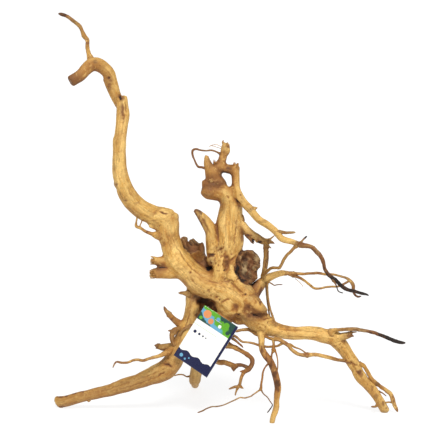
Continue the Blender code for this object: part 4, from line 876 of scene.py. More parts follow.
def aged_limbs():
    """For a limb that ends at (h, v): where along it brown wood starts and is full, as shares of its
    length, and how
    brown it is, then the same for black wood."""
    all_along, never = (-1.0, 0.0), (2.0, 3.0, 0.0)
    return {
        (172, 161): (-0.05, 0.2, 0.92, 0.16, 0.60, 0.95), (140, 164): (*all_along, 0.9, 0.0, 0.5, 0.9),
        (217.5, 101.7): (0.05, 0.35, 0.85, 0.40, 0.80, 1.0), (162.5, 160.3): (0.5, 0.8, 0.6, 0.8, 1.0, 0.8),
        (148, 179.5): (0.55, 0.85, 0.5, 0.8, 1.0, 0.3), (-215.5, 513.4): (0.2, 0.8, 0.6, 0.82, 1.0, 0.7),
        (-30, 319): (*all_along, 0.75, 0.35, 0.5, 0.45), (39, 181): (-0.3, 0.3, 0.5, *never),
        (41, 186): (*all_along, 0.5, *never), (40, 186): (0.1, 0.4, 0.35, *never),
        (94.5, 235): (-0.5, 0.3, 0.6, 0.5, 0.9, 0.85), (80, 240): (0.0, 0.5, 0.6, 0.8, 1.0, 0.4),
        (-84, 147): (0.0, 0.5, 0.6, 0.5, 1.0, 0.6), (22, 70.5): (0.3, 0.7, 0.5, *never),
        (3, 66.5): (*all_along, 0.7, 0.3, 1.0, 0.5), (15, 95.8): (*all_along, 0.75, 0.5, 1.0, 0.5),
        (-3, 44): (0.75, 0.9, 0.5, 0.9, 1.0, 0.3), (67, 102): (0.05, 0.3, 0.4, *never),
        (34, 111): (0.0, 0.3, 0.4, *never), (194, 35): (*all_along, 0.6, 0.3, 1.0, 0.6),
        (175, 22): (0.2, 0.6, 0.6, 0.6, 1.0, 0.5), (204, 26): (*all_along, 0.5, *never),
        (-42, 14.5): (0.3, 0.9, 0.65, 0.8, 1.0, 0.4), (45, 14.5): (*all_along, 0.6, 0.2, 0.8, 0.85),
        (-67, 96): (0.0, 0.4, 0.5, *never), (-64, 108): (*all_along, 0.6, *never),
        (-79, 117): (*all_along, 0.6, 0.4, 1.0, 0.5), (-96, 98.8): (*all_along, 0.7, 0.3, 1.0, 0.5),
        (-94.5, 95): (*all_along, 0.7, 0.3, 1.0, 0.5), (-87, 89.8): (*all_along, 0.6, 0.3, 1.0, 0.5),
        (-148, 70.5): (0.7, 1.0, 0.5, *never), (28, 225.5): (*all_along, 0.7, 0.2, 1.0, 0.5),
        (54, 226): (*all_along, 0.6, 0.5, 1.0, 0.4), (54, 236): (*all_along, 0.5, 0.5, 1.0, 0.3),
        (50, 220): (*all_along, 0.6, 0.5, 1.0, 0.4), (64, 174.5): (0.2, 0.8, 0.6, 0.6, 1.0, 0.4),
        (153.5, 109.8): (*all_along, 0.6, 0.4, 1.0, 0.6), (157, 115.3): (*all_along, 0.5, *never),
        (44, 227.5): (0.2, 0.7, 0.5, 0.6, 1.2, 0.45), (-46.5, 223): (-0.5, 0.9, 0.12, *never),
        (-59.2, 233): (*all_along, 0.45, *never), (24, 204): (*all_along, 1.0, *never),
        (20.5, 190.5): (*all_along, 1.0, *never), (-92, 97): (0.0, 0.7, 0.6, 0.8, 1.2, 0.5),
        (-76, 135.5): (0.2, 1.0, 0.5, *never), (-66, 164.3): (0.0, 0.6, 0.6, *never),
        (150, 112.4): (0.3, 1.0, 0.6, 0.7, 1.1, 0.4), (-201, 428.2): (0.8, 1.0, 0.3, *never),
        (38.5, 153.3): (0.0, 0.7, 0.6, 0.6, 1.0, 0.4), (131, 174): (*all_along, 0.5, *never),
        (56, 121): (0.0, 0.2, 0.35, *never), (49, 124): (0.0, 0.2, 0.35, *never),
        (-217.6, 27.2): (0.0, 0.5, 0.28, *never), (-45.2, 48.2): (0.0, 0.5, 0.35, *never),
    }


def broken_ends():
    """For a stub that ends at (h, v): how long the splinters of its broken end are, and how dark its
    hollow is."""
    return {
        (-46.5, 223): (6.5, 1.0), (-59.2, 233): (3.0, 0.4), (24, 204): (3.6, 1.0),
        (20.5, 190.5): (3.6, 1.0), (-97, 204.3): (4.0, 0.0), (-97.5, 188.5): (4.5, 0.0),
        (44, 227.5): (3.0, 0.3), (150, 112.4): (2.5, 0.3), (-31.5, 336): (1.5, 0.0),
        (8.3, 323.6): (2.0, 0.0),
    }


def ageing(limb, points, run):
    """How brown and how black a limb's own wood is at points that lie run along it."""
    marks = aged_limbs().get(limb.end_place)
    if marks is None:
        return np.zeros(len(points)), np.zeros(len(points))
    wander = 0.11 * grain_noise(points, 9.0, 5.5) + 0.09 * grain_noise(points, 3.0, 1.5)
    share = run / limb.travelled[-1] + wander
    brown = marks[2] * smooth_step(share, marks[0], marks[1])
    return brown, marks[5] * smooth_step(share, marks[3], marks[4])


def pitted_places():
    """(h, v, half width, half height, strength): where small holes and warts gather."""
    return [
        (-14, 219, 12, 7, 1.0), (-8, 206, 11, 10, 1.0), (2, 184, 14, 8, 0.7), (12, 140, 14, 9, 0.55),
        (-30, 165, 16, 10, 0.4), (34, 154, 10, 9, 0.9), (-26, 203, 8, 9, 0.9), (46, 140, 10, 6, 0.7),
        (40, 126, 12, 10, 0.4), (-22, 300, 12, 14, 0.45), (-6, 330, 8, 16, 0.5), (138, 100, 10, 10, 0.35),
        (-80, 78, 10, 9, 0.4), (-152, 434, 9, 9, 0.3), (-84, 252, 9, 9, 0.2),
    ]


def falloff(h, v, place_h, place_v, half_h, half_v):
    """1 at a place, and a soft fall to 0 round it."""
    return np.exp(-((h - place_h) / half_h) ** 2 - ((v - place_v) / half_v) ** 2)


def line_distance(h, v, line):
    """How far points seen at (h, v) are from a line of points, and how near its ends they are (0 to 1)."""
    best = np.full(h.shape, 1e9)
    spot = np.zeros(h.shape)
    lengths = [math.dist(a, b) for a, b in zip(line, line[1:])]
    total, run = sum(lengths), 0.0
    for (ah, av), (bh, bv), length in zip(line, line[1:], lengths):
        t = np.clip(((h - ah) * (bh - ah) + (v - av) * (bv - av)) / length ** 2, 0.0, 1.0)
        away = np.hypot(h - ah - t * (bh - ah), v - av - t * (bv - av))
        closer = away < best
        best = np.where(closer, away, best)
        spot = np.where(closer, (run + t * length) / total, spot)
        run += length
    return best, np.sin(math.pi * np.clip(spot, 0.02, 0.98)) ** 0.5


def stained(h, v, places, ragged, low, high):
    """How strongly places with ragged edges colour points seen at (h, v)."""
    amount = np.zeros(len(h))
    for ph, pv, half_h, half_v, strength in places:
        spread = falloff(h, v, ph, pv, half_h, half_v) * ragged
        amount = np.maximum(amount, strength * smooth_step(spread, low, high))
    return amount


def surface_marks(points, facing):
    """What the placed features give to points of the front: a push along the normal, and dark, brown and
    worn wood, the dark and brown partly painted shade in hollows and under stubs."""
    h, v, depth = drawing_place(points)
    h = h + 0.9 * grain_noise(points, 3.2, 2.9)
    v = v + 0.9 * grain_noise(points, 3.2, 6.1)
    front = smooth_step(facing, 0.05, 0.4)
    shown = 1.0 - smooth_step(depth, *MARKS_FADE) * (np.abs(h) < MARKS_HALF_WIDTH)
    for stub in STUBS_BEHIND:
        shown = np.maximum(shown, smooth_step(falloff(h, v, *stub, STUB_REACH, STUB_REACH), 0.3, 0.6))
    push = np.zeros(len(points))
    dark = np.zeros(len(points))
    for ph, pv, half_h, half_v, height in lumps_and_pits():
        push += height * front * falloff(h, v, ph, pv, half_h, half_v)
    for ph, pv, half_h, half_v, height in edge_lumps():
        push += height * falloff(h, v, ph, pv, half_h, half_v)
    for line, half, deep, darkness in cracks():
        wander = 0.8 * grain_noise(points, 7.0, 3.3)
        away, ends = line_distance(h + wander, v, line)
        cleft = np.exp(-(away / half) ** 2) * front * ends
        push -= deep * cleft
        # Cracks darkened along their clefts: the cracks' own dark and painted shade in them.
        dark = np.maximum(dark, darkness * cleft)
    rough = grain_noise(points, 4.0, 9.1)
    brown = stained(h, v, brown_places(), 1.0 + 0.6 * rough, 0.2, 0.75)
    dark = np.maximum(dark, stained(h, v, dark_places(), 1.0 + 0.5 * rough, 0.25, 0.8))
    worn = np.zeros(len(points))
    for ph, pv, half_h, half_v, amount in worn_places():
        worn = np.maximum(worn, amount * falloff(h, v, ph, pv, half_h, half_v) * (1.0 + 0.6 * rough))
    return push, dark * shown, brown * shown, worn * front


def tone_and_painted_light_places():
    """(h, v, half width, half height, how much darker the wood is painted there, as shade; below 0 lighter):
    partly the wood's own tone, partly painted shade and painted light.
    """
    return [
        (-17, 325, 26, 28, 0.26), (-28, 297, 18, 14, 0.34), (-200, 432, 24, 16, 0.42),
        (-152, 430, 12, 22, 0.16), (-137, 388, 8, 20, 0.16), (-72, 92, 22, 24, 0.20),
        (-130, 50, 74, 26, 0.15), (-205, 30, 20, 14, 0.16), (52, 60, 12, 42, 0.40),
        (112, 214, 24, 20, 0.22), (18, 84, 26, 28, 0.20), (175, 42, 24, 30, 0.14), (-92, 192, 12, 14, 0.28),
        (-34, 178, 20, 12, 0.10), (22, 148, 16, 12, 0.16), (30, 133, 16, 6, 0.16), (-6, 204, 4, 13, 0.22),
        (68, 113, 22, 9, -0.22), (-172, 450, 16, 8, 0.24), (-152, 52, 40, 12, 0.06),
        (40, 168, 12, 16, 0.16), (6, 312, 10, 24, 0.14), (20, 275, 18, 14, 0.12), (-84, 255, 14, 12, 0.05),
        (-6, 117, 11, 8, 0.34), (24, 76, 18, 15, 0.34), (46, 136, 12, 10, 0.16), (44, 228, 8, 8, -0.12),
        (6, 277, 6, 14, -0.16), (-44, 78, 10, 8, -0.16), (45, 150, 4, 24, -0.10), (-13, 190, 20, 10, -0.06),
        (0, 250, 15, 30, -0.20), (112, 106, 52, 22, -0.18), (62, 113, 20, 8, -0.20),
        (-138, 306, 10, 24, -0.22), (-70, 206, 12, 16, -0.22), (-4, 181, 9, 6, -0.30),
        (39, 182, 4, 10, -0.22), (76, 190, 18, 5, -0.22), (47, 150, 4, 24, -0.26), (106, 91, 30, 8, -0.32),
        (206, 36, 8, 14, -0.34), (-36, 71, 8, 8, -0.24), (-84, 98, 8, 4, -0.2), (-45, 186, 12, 7, 0.14),
        (15, 171, 8, 9, 0.16), (-31, 142, 7, 6, 0.28), (-74, 130, 10, 10, 0.20), (-176, 38, 26, 9, 0.12),
        (157, 171, 8, 8, 0.24), (62, 174, 10, 4, 0.35), (-46, 210, 16, 18, -0.12), (60, 185, 40, 12, -0.05),
        (-44, 62, 12, 16, -0.04),
    ]


def tone_and_painted_light(points):
    """How much darker or lighter some broad parts of the wood are painted than the rest, as shade: partly
    their own tone, partly painted shade and painted light.
    """
    h, v, _ = drawing_place(points)
    amount = np.zeros(len(points))
    for ph, pv, half_h, half_v, more in tone_and_painted_light_places():
        amount += more * falloff(h, v, ph, pv, half_h, half_v)
    return amount


def pitting(points, facing):
    """How pitted the front is at each point, 0 to 1."""
    h, v, _ = drawing_place(points)
    amount = np.zeros(len(points))
    for ph, pv, half_h, half_v, strength in pitted_places():
        amount = np.maximum(amount, strength * falloff(h, v, ph, pv, half_h, half_v))
    return amount * smooth_step(facing, 0.0, 0.4)


# Mesh numbers as arrays.

def mesh_points(mesh):
    """A mesh's points in millimetres."""
    flat = np.empty(3 * len(mesh.vertices))
    mesh.vertices.foreach_get("co", flat)
    return flat.reshape(-1, 3) / MM


def set_mesh_points(mesh, points):
    """Move a mesh's points, given in millimetres."""
    mesh.vertices.foreach_set("co", (points * MM).ravel())
    mesh.update()


def mesh_normals(mesh):
    """A mesh's point normals."""
    flat = np.empty(3 * len(mesh.vertices))
    mesh.vertex_normals.foreach_get("vector", flat)
    return flat.reshape(-1, 3)


def mesh_edges(mesh):
    """A mesh's edges as pairs of point numbers."""
    flat = np.empty(2 * len(mesh.edges), dtype=np.int32)
    mesh.edges.foreach_get("vertices", flat)
    return flat.reshape(-1, 2)


def relax(values, edges, passes):
    """Values (n, k) averaged with their neighbours' over a number of passes."""
    count = len(values)
    ends = np.concatenate([edges[:, 0], edges[:, 1]])
    starts = np.concatenate([edges[:, 1], edges[:, 0]])
    share = np.maximum(np.bincount(ends, minlength=count), 1)
    values = values.astype(float)
    for _ in range(passes):
        summed = [np.bincount(ends, weights=values[starts, k], minlength=count)
                  for k in range(values.shape[1])]
        values = 0.5 * values + 0.5 * np.stack(summed, axis=1) / share[:, None]
    return values


def write_layer(mesh, name, values):
    """Store one number or three for each point, for the shader to read."""
    if values.ndim == 1:
        layer = mesh.attributes.new(name, "FLOAT", "POINT")
        layer.data.foreach_set("value", values.astype(np.float32))
    else:
        layer = mesh.attributes.new(name, "FLOAT_VECTOR", "POINT")
        layer.data.foreach_set("vector", values.astype(np.float32).ravel())


def corner_shade(tree, points, normals):
    """How closed in each point is, 0 in the open to 1 in a deep corner, by rays to what is near: painted
    shade for the wood's colour.
    """
    golden = math.pi * (3.0 - math.sqrt(5.0))
    spread = []
    for i in range(SHADE_RAYS):
        height = 1.0 - (i + 0.5) / SHADE_RAYS
        ring = math.sqrt(1.0 - height * height)
        spread.append((ring * math.cos(golden * i), ring * math.sin(golden * i), height))
    reach = SHADE_REACH * MM
    shade = np.zeros(len(points))
    for n, (point, normal) in enumerate(zip((points * MM).tolist(), normals.tolist())):
        normal = Vector(normal)
        side = normal.orthogonal().normalized()
        other = normal.cross(side)
        start = Vector(point) + normal * (0.4 * MM)
        for x, y, z in spread:
            hit = tree.ray_cast(start, side * x + other * y + normal * z, reach)
            if hit[0] is not None:
                shade[n] += 1.0 - 0.6 * hit[3] / reach
    return shade / SHADE_RAYS


def nearest_limbs(points, limbs):
    """For each point the two limbs whose skins it lies nearest to: flow coordinates in both, how much the
    second
    counts, and the nearest one's radius and own brown and black."""
    count = len(points)
    aged = np.zeros((count, 2))
    score = np.full((count, 2), 1e9)
    flow = np.zeros((count, 2, 3))
    radius = np.full(count, 1.0)
    for limb in limbs:
        margin = limb.radius.max() + 8.0
        low, high = limb.centre.min(axis=0) - margin, limb.centre.max(axis=0) + margin
        chosen = np.flatnonzero(((points > low) & (points < high)).all(axis=1))
        for part in np.array_split(chosen, max(1, len(chosen) * len(limb.centre) // 4000000)):
            if len(part) == 0:
                continue
            away = np.linalg.norm(points[part][:, None, :] - limb.centre[None, :, :], axis=2)
            lift = away - limb.radius[None, :]
            nearest = lift.argmin(axis=1)
            gap = np.abs(lift[np.arange(len(part)), nearest])
            coords = limb.flow(points[part], nearest)
            first = gap < score[part, 0]
            second = ~first & (gap < score[part, 1])
            moved = part[first]
            score[moved, 1] = score[moved, 0]
            flow[moved, 1] = flow[moved, 0]
            score[moved, 0] = gap[first]
            flow[moved, 0] = coords[first]
            radius[moved] = limb.radius[nearest[first]]
            aged[moved] = np.stack(ageing(limb, points[moved], limb.travelled[nearest[first]]), axis=1)
            score[part[second], 1] = gap[second]
            flow[part[second], 1] = coords[second]
    lead = smooth_step(score[:, 1] - score[:, 0], 0.0, 5.0)
    return flow[:, 0], flow[:, 1], 0.5 * (1.0 - lead), radius, aged


def splinter(points, normals, limbs):
    """How far points of broken stub ends stand out, as (n, 3), and how dark the hollows in them are."""
    push = np.zeros((len(points), 3))
    dark = np.zeros(len(points))
    for limb in limbs:
        if limb.end_place not in broken_ends():
            continue
        length, darkness = broken_ends()[limb.end_place]
        end, out, radius = limb.centre[-1], limb.along[-1], limb.radius[-1]
        away = points - end
        level = away @ out
        a, b = away @ limb.across[-1], away @ limb.other[-1]
        aside = np.hypot(a, b)
        near = (level > -1.6 * radius) & (aside < radius + 2.0)
        fibres = np.stack([a / 1.9, b / 6.5, level / 14.0], axis=1)
        broad = np.stack([a / 6.0, b / 9.0, level / 30.0], axis=1)
        ragged = 0.45 * grain_noise(fibres, 1.0, 3.1) + 1.3 * grain_noise(broad, 1.0, 6.2) - 0.15
        rise = near * smooth_step(level, -0.9 * radius, 0.0) * (level < 4.0)
        push += (length * ragged * rise)[:, None] * out
        radial = (away - level[:, None] * out) / np.maximum(aside, 0.5)[:, None]
        inward = smooth_step(-np.einsum("ij,ij->i", normals, radial), -0.1, 0.5)
        facing_out = smooth_step(normals @ out, 0.3, 0.8)
        hollow = np.maximum(inward, facing_out) * near * smooth_step(level, -1.6 * radius, -1.2 * radius)
        dark = np.maximum(dark, darkness * hollow)
    return push, dark


def sawn_amount(points, normals, limbs):
    """1 on the flat face of a limb's sawn end, 0 elsewhere."""
    amount = np.zeros(len(points))
    for limb in limbs:
        end, out = limb.centre[-1], limb.along[-1]
        away = points - end
        level = away @ out
        aside = np.linalg.norm(away - level[:, None] * out, axis=1)
        on_face = (np.abs(level) < 3.0) & (aside < limb.radius[-1] + 1.0)
        amount = np.maximum(amount, on_face * smooth_step(normals @ out, 0.4, 0.7))
    return amount


def square_ends(points, limbs):
    """Push the soft rim of each sawn end out to a saw cut's square edge."""
    for limb in limbs:
        radius, out = limb.radius[-1], limb.along[-1]
        slant = SAW_SLANT.get(limb.end_place, 0.0)
        away = points - limb.centre[-1]
        level = away @ out
        near = (np.linalg.norm(away, axis=1) < 2.5 * radius) * smooth_step(level, -1.2 * radius, 0.0)
        points = points + (slant * (away[:, 2] - radius) * near)[:, None] * out
        away = points - limb.centre[-1]
        level = away @ out - slant * (away[:, 2] - radius)
        radial = away - (away @ out)[:, None] * out
        aside = np.linalg.norm(radial, axis=1)
        rim = np.stack([level, aside - radius], axis=1) + SAW_RIM
        larger = np.maximum(rim.max(axis=1), 0.3 * SAW_RIM)
        strength = smooth_step(rim.min(axis=1), 0.0, 0.3 * SAW_RIM) * (larger < 1.5 * SAW_RIM)
        grown = rim * (1.0 + strength * (SAW_RIM / larger - 1.0))[:, None] - SAW_RIM
        outward = radial / np.maximum(aside, 0.5)[:, None]
        along = grown[:, :1] + slant * (away[:, 2:] - radius)
        moved = limb.centre[-1] + along * out + (grown[:, 1:] + radius) * outward
        points = np.where((strength > 0.0)[:, None], moved, points)
    return points


def make_heavy_wood(limbs, sawn):
    """The merged thick wood, with its flutes, grain, knots, pits and cracks in the mesh."""
    points, faces = [], []
    for limb in limbs:
        angle = 2.0 * math.pi * np.arange(THICK_SIDES) / THICK_SIDES
        run = limb.travelled[:, None]
        swell = np.cos(2.0 * angle + 0.021 * run) + 0.7 * np.cos(3.0 * angle - 0.034 * run)
        rings = tube_rings(limb, THICK_SIDES, limb.radius[:, None] * (1.0 + LOBE * swell))
        faces += tube_faces(len(rings), THICK_SIDES, sum(len(p) for p in points))
        points.append(np.vstack([rings.reshape(-1, 3), limb.centre[:1], limb.centre[-1:]]))
    mesh = bpy.data.meshes.new("tubes")
    mesh.from_pydata((np.vstack(points) * MM).tolist(), [], faces)
    bm = bmesh.new()
    bm.from_mesh(mesh)
    crown_lumps(bm)
    wood = new_object("driftwood_heavy", bm)
    merge(wood)
    cut_away(wood, hollows())
    merge(wood)
    smooth = wood.modifiers.new("smooth", "SMOOTH")
    smooth.factor = 0.5
    smooth.iterations = SMOOTH_PASSES
    freeze(wood)

    floor = bmesh.new()
    middle = Vector((0.0, 0.0, -0.5 * FLOOR_CUTTER_DEEP))
    add_slab(floor, middle, Matrix.Identity(3), (FLOOR_CUTTER_WIDTH, FLOOR_CUTTER_WIDTH, FLOOR_CUTTER_DEEP))
    cut_away(wood, [floor, card_room()])
    carve(wood, limbs, sawn)
    return wood


def carve(wood, limbs, sawn):
    """Give the thick wood its relief, and store what its shader reads."""
    mesh = wood.data
    points, normals, edges = mesh_points(mesh), mesh_normals(mesh), mesh_edges(mesh)
    flow_a, flow_b, mixing, radius, aged = nearest_limbs(points, limbs)
    mixing = relax(mixing[:, None], edges, 3)[:, 0]
    aged = relax(aged, edges, 2)
    splinters_out, broken = splinter(points, normals, limbs)
    filled = relax(points, edges, FILLET_PASSES)
    valley = smooth_step(mixing, 0.08, 0.4) * (1.0 - smooth_step(broken, 0.0, 0.1))
    h, v, _ = drawing_place(points)
    valley = np.maximum(valley, smooth_step(falloff(h, v, *HEAD_CUP), 0.25, 0.6))
    points = points + relax(valley[:, None], edges, 4) * (filled - points)
    facing = -normals @ np.array(SIGHT)
    cut_face = sawn_amount(points, normals, sawn)
    points = square_ends(points, sawn)

    def both(scale, seed):
        return (1.0 - mixing) * grain_noise(flow_a, scale, seed) + mixing * grain_noise(flow_b, scale, seed)

    plump = np.clip(radius / 10.0, 0.35, 1.3)
    flutes = both(FLUTE_GRAIN, 1.7)
    ridges = 0.5 - np.abs(both(RIDGE_GRAIN, 5.2))
    grain = both(FINE_GRAIN, 8.4)
    waves = grain_noise(points, WAVE_SIZE, 2.1)
    warts = grain_noise(points, WART_SIZE, 6.6)
    pitted = pitting(points, facing)
    marks, dark, brown, worn = surface_marks(points, facing)
    h, v, _ = drawing_place(points)
    stump = falloff(h, v, *STUMP)
    lumps = grain_noise(points, LUMP_SIZES[0], 4.7) + 0.6 * grain_noise(points, LUMP_SIZES[1], 9.9)
    push = plump * ((0.42 - 0.2 * stump) * flutes + 0.34 * ridges + 0.5 * waves) + 0.16 * grain
    folds = 0.45 - np.abs(both(FOLD_GRAIN, 3.3))
    push += (0.35 + 1.1 * stump) * lumps + (0.5 + 2.2 * stump) * folds
    holes = smooth_step(grain_noise(points, HOLE_SIZE, 4.4), 0.16, 0.5)
    push += pitted * (1.2 * warts - 1.7 * holes)
    whole = smooth_step(points[:, 2], 0.3, 4.0) * (1.0 - 0.8 * cut_face)
    moved = points + normals * ((push + marks) * whole)[:, None] + splinters_out
    moved = keep_off_card(inside_box(moved), GAP)
    set_mesh_points(mesh, moved)

    normals = mesh_normals(mesh)
    near = relax(moved, edges, 3)
    far = relax(near, edges, 22)
    fine_hollow = np.einsum("ij,ij->i", near - moved, normals)
    broad_hollow = np.einsum("ij,ij->i", far - moved, normals)
    tree = BVHTree.FromPolygons((moved * MM).tolist(), [tuple(p.vertices) for p in mesh.polygons])
    # Painted shade: the wood is darker in closed corners and on its undersides.
    shade = corner_shade(tree, moved, normals) + UNDERSIDE_SHADE * smooth_step(-normals[:, 2], -0.1, 0.9)
    # Broad parts painted darker or lighter: partly the wood's own tone, partly painted shade and painted
    # light.
    shade += tone_and_painted_light(points)
    shade = relax(shade[:, None], edges, 2)[:, 0]
    write_layer(mesh, "flow_a", flow_a)
    write_layer(mesh, "flow_b", flow_b)
    write_layer(mesh, "mixing", mixing)
    # Pits painted dark: painted shade in them.
    dark = np.maximum(dark, 0.45 * smooth_step(pitted, 0.55, 1.0) * holes)
    brown = np.maximum(brown * smooth_step(facing, -0.3, 0.3), np.maximum(aged[:, 0], broken))
    write_layer(mesh, "dark", np.clip(np.maximum(dark, aged[:, 1]), 0.0, 1.0))
    write_layer(mesh, "brown", np.clip(brown, 0.0, 1.0))
    # Hollows turn red-brown, partly the grooves' own colour and partly painted shade; ridges turn paler as a
    # painted highlight.
    write_layer(mesh, "hollow", np.clip(1.6 * fine_hollow + 0.35 * broad_hollow, -1.0, 1.0))
    write_layer(mesh, "shade", shade)
    write_layer(mesh, "sawn", cut_face)
    write_layer(mesh, "worn", np.clip(worn, 0.0, 1.0))
    write_layer(mesh, "slim", np.zeros(len(points)))
    mesh.polygons.foreach_set("use_smooth", [True] * len(mesh.polygons))


def first_outside(limb, others):
    """The travelled length at which a twig comes out of what it grows from."""
    inside = np.zeros(len(limb.centre), dtype=bool)
    for other in others:
        if other is limb:
            continue
        away = np.linalg.norm(limb.centre[:, None, :] - other.centre[None, :, :], axis=2)
        inside |= (away < other.radius[None, :]).any(axis=1)
    early = limb.travelled < 0.5 * limb.travelled[-1]
    buried = np.flatnonzero(inside & early)
    return limb.travelled[buried[-1]] if len(buried) else 0.0


def make_twigs(twigs, limbs):
    """All thin roots and twigs, each a closed tube with knuckles, bends and a flared start."""
    points, faces = [], []
    layers = {"flow_a": [], "dark": [], "brown": [], "hollow": [], "slim": []}
    total = 0
    for limb in twigs:
        mean = limb.radius.mean()
        sides = 8 if mean < 1.2 else (10 if mean < 2.2 else 14)
        run = limb.travelled
        out_at = first_outside(limb, limbs + twigs)
        line = np.stack([run, np.full(len(run), 7.0 * limb.order), np.zeros(len(run))], axis=1)
        sway = np.clip(0.16 * limb.radius, 0.1, 0.5) * smooth_step(run, 1.0, 6.0)
        limb.centre = limb.centre + limb.across * (sway * grain_noise(line, 5.0, 1.1))[:, None]
        limb.centre = limb.centre + limb.other * (sway * grain_noise(line, 6.0, 7.7))[:, None]
        knuckles = 1.0 + 0.13 * grain_noise(line, 5.5, 3.9) + 0.08 * grain_noise(line, 2.2, 8.8)
        flare = 1.0 + 0.55 * np.exp(-np.abs(run - out_at) / (1.2 * limb.radius))
        ends = np.minimum(1.0, 0.55 + 0.45 * (run[-1] - run) / (1.5 * limb.radius))
        angle = 2.0 * math.pi * np.arange(sides) / sides
        swell = (0.07 * np.cos(2.0 * angle + 0.05 * run[:, None])
             + 0.05 * np.cos(3.0 * angle - 0.11 * run[:, None]))
        reach = (limb.radius * knuckles * flare * ends)[:, None] * (1.0 + swell)
        rings = tube_rings(limb, sides, np.maximum(reach, 0.3))
        faces += tube_faces(len(rings), sides, total)
        tip = limb.centre[-1:] + 0.4 * limb.radius[-1] * limb.along[-1:]
        spots = np.vstack([rings.reshape(-1, 3), limb.centre[:1], tip])
        nearest = np.concatenate([np.repeat(np.arange(len(rings)), sides), [0, len(rings) - 1]])
        points.append(spots)
        total += len(spots)
        layers["flow_a"].append(limb.flow(spots, nearest))
        # Painted shade where a twig comes out of the wood it grows from, given as hollow.
        buried = np.exp(-np.maximum(run[nearest] - out_at, 0.0) / (1.5 * limb.radius[nearest]))
        layers["hollow"].append(0.25 * buried if limb.order < FIBRE_ORDER else np.zeros(len(spots)))
        old, black = ageing(limb, spots, run[nearest])
        layers["brown"].append(old)
        layers["dark"].append(black)
        slim = np.clip((3.4 - limb.radius[nearest]) / 2.4, 0.0, 1.0)
        layers["slim"].append(slim if limb.order < FIBRE_ORDER else 0.15 * slim)
    points = inside_box(np.vstack(points))
    mesh = bpy.data.meshes.new("driftwood_twigs")
    mesh.from_pydata((points * MM).tolist(), [], faces)
    mesh.update()
    _, dark, brown, _ = surface_marks(points, np.ones(len(points)))
    write_layer(mesh, "brown", np.clip(np.maximum(brown, np.concatenate(layers["brown"])), 0.0, 1.0))
    write_layer(mesh, "flow_a", np.vstack(layers["flow_a"]))
    write_layer(mesh, "flow_b", np.vstack(layers["flow_a"]))
    write_layer(mesh, "mixing", np.zeros(len(points)))
    write_layer(mesh, "dark", np.clip(np.maximum(dark, np.concatenate(layers["dark"])), 0.0, 1.0))
    write_layer(mesh, "hollow", np.concatenate(layers["hollow"]))
    under = smooth_step(-mesh_normals(mesh)[:, 2], -0.1, 0.9)
    # Painted shade on the twigs' undersides, and the broad painted tone, shade and light.
    write_layer(mesh, "shade", 0.05 + 0.8 * UNDERSIDE_SHADE * under + tone_and_painted_light(points))
    write_layer(mesh, "sawn", np.zeros(len(points)))
    write_layer(mesh, "worn", np.zeros(len(points)))
    write_layer(mesh, "slim", np.concatenate(layers["slim"]))
    mesh.polygons.foreach_set("use_smooth", [True] * len(mesh.polygons))
    return link_mesh("driftwood_twigs", mesh)


# Materials.

class Nodes:
    """Short calls for building a material's nodes."""

    def __init__(self, name):
        self.material = bpy.data.materials.new(name)
        self.material.use_nodes = True
        self.tree = self.material.node_tree
        self.shader = self.tree.nodes["Principled BSDF"]

    def add(self, kind, **settings):
        node = self.tree.nodes.new(kind)
        for key, value in settings.items():
            setattr(node, key, value)
        return node

    def plug(self, value, socket):
        if isinstance(value, bpy.types.NodeSocket):
            self.tree.links.new(value, socket)
        else:
            socket.default_value = value

    def math(self, operation, *values):
        node = self.add("ShaderNodeMath", operation=operation)
        for value, socket in zip(values, node.inputs):
            self.plug(value, socket)
        return node.outputs[0]

    def vector(self, operation, a, b):
        node = self.add("ShaderNodeVectorMath", operation=operation)
        self.plug(a, node.inputs[0])
        self.plug(b, node.inputs[1])
        return node.outputs[0]

    def layer(self, name, vector=False):
        node = self.add("ShaderNodeAttribute", attribute_name=name)
        return node.outputs["Vector" if vector else "Fac"]

    def noise(self, where, scale, detail=2.0, rough=0.5, distortion=0.0):
        node = self.add("ShaderNodeTexNoise")
        self.plug(where, node.inputs["Vector"])
        node.inputs["Scale"].default_value = scale
        node.inputs["Detail"].default_value = detail
        node.inputs["Roughness"].default_value = rough
        node.inputs["Distortion"].default_value = distortion
        return node.outputs["Fac"]

    def ramp(self, value, low, high, to_low=0.0, to_high=1.0):
        node = self.add("ShaderNodeMapRange", interpolation_type="SMOOTHSTEP")
        for item, socket in zip((value, low, high, to_low, to_high), node.inputs):
            self.plug(item, socket)
        return node.outputs[0]

    def mix(self, amount, a, b, blend="MIX"):
        node = self.add("ShaderNodeMix", data_type="RGBA", blend_type=blend)
        self.plug(amount, node.inputs[0])
        for value, socket in ((a, node.inputs[6]), (b, node.inputs[7])):
            self.plug((*value, 1.0) if isinstance(value, tuple) else value, socket)
        return node.outputs[2]


# Colours of the wood, as linear light.
HONEY = (0.515, 0.270, 0.056)
PALE = (0.73, 0.475, 0.152)
AMBER = (0.365, 0.150, 0.025)
UMBER = (0.225, 0.108, 0.036)
OLD_BROWN = (0.080, 0.037, 0.016)
WORN_GREY = (0.38, 0.265, 0.130)
RED_BROWN = (0.185, 0.068, 0.020)
DEEP_BROWN = (0.050, 0.019, 0.008)
CHAR_AND_SHADOW_BLACK = (0.018, 0.011, 0.008)
SAWN_GREY = (0.46, 0.38, 0.27)


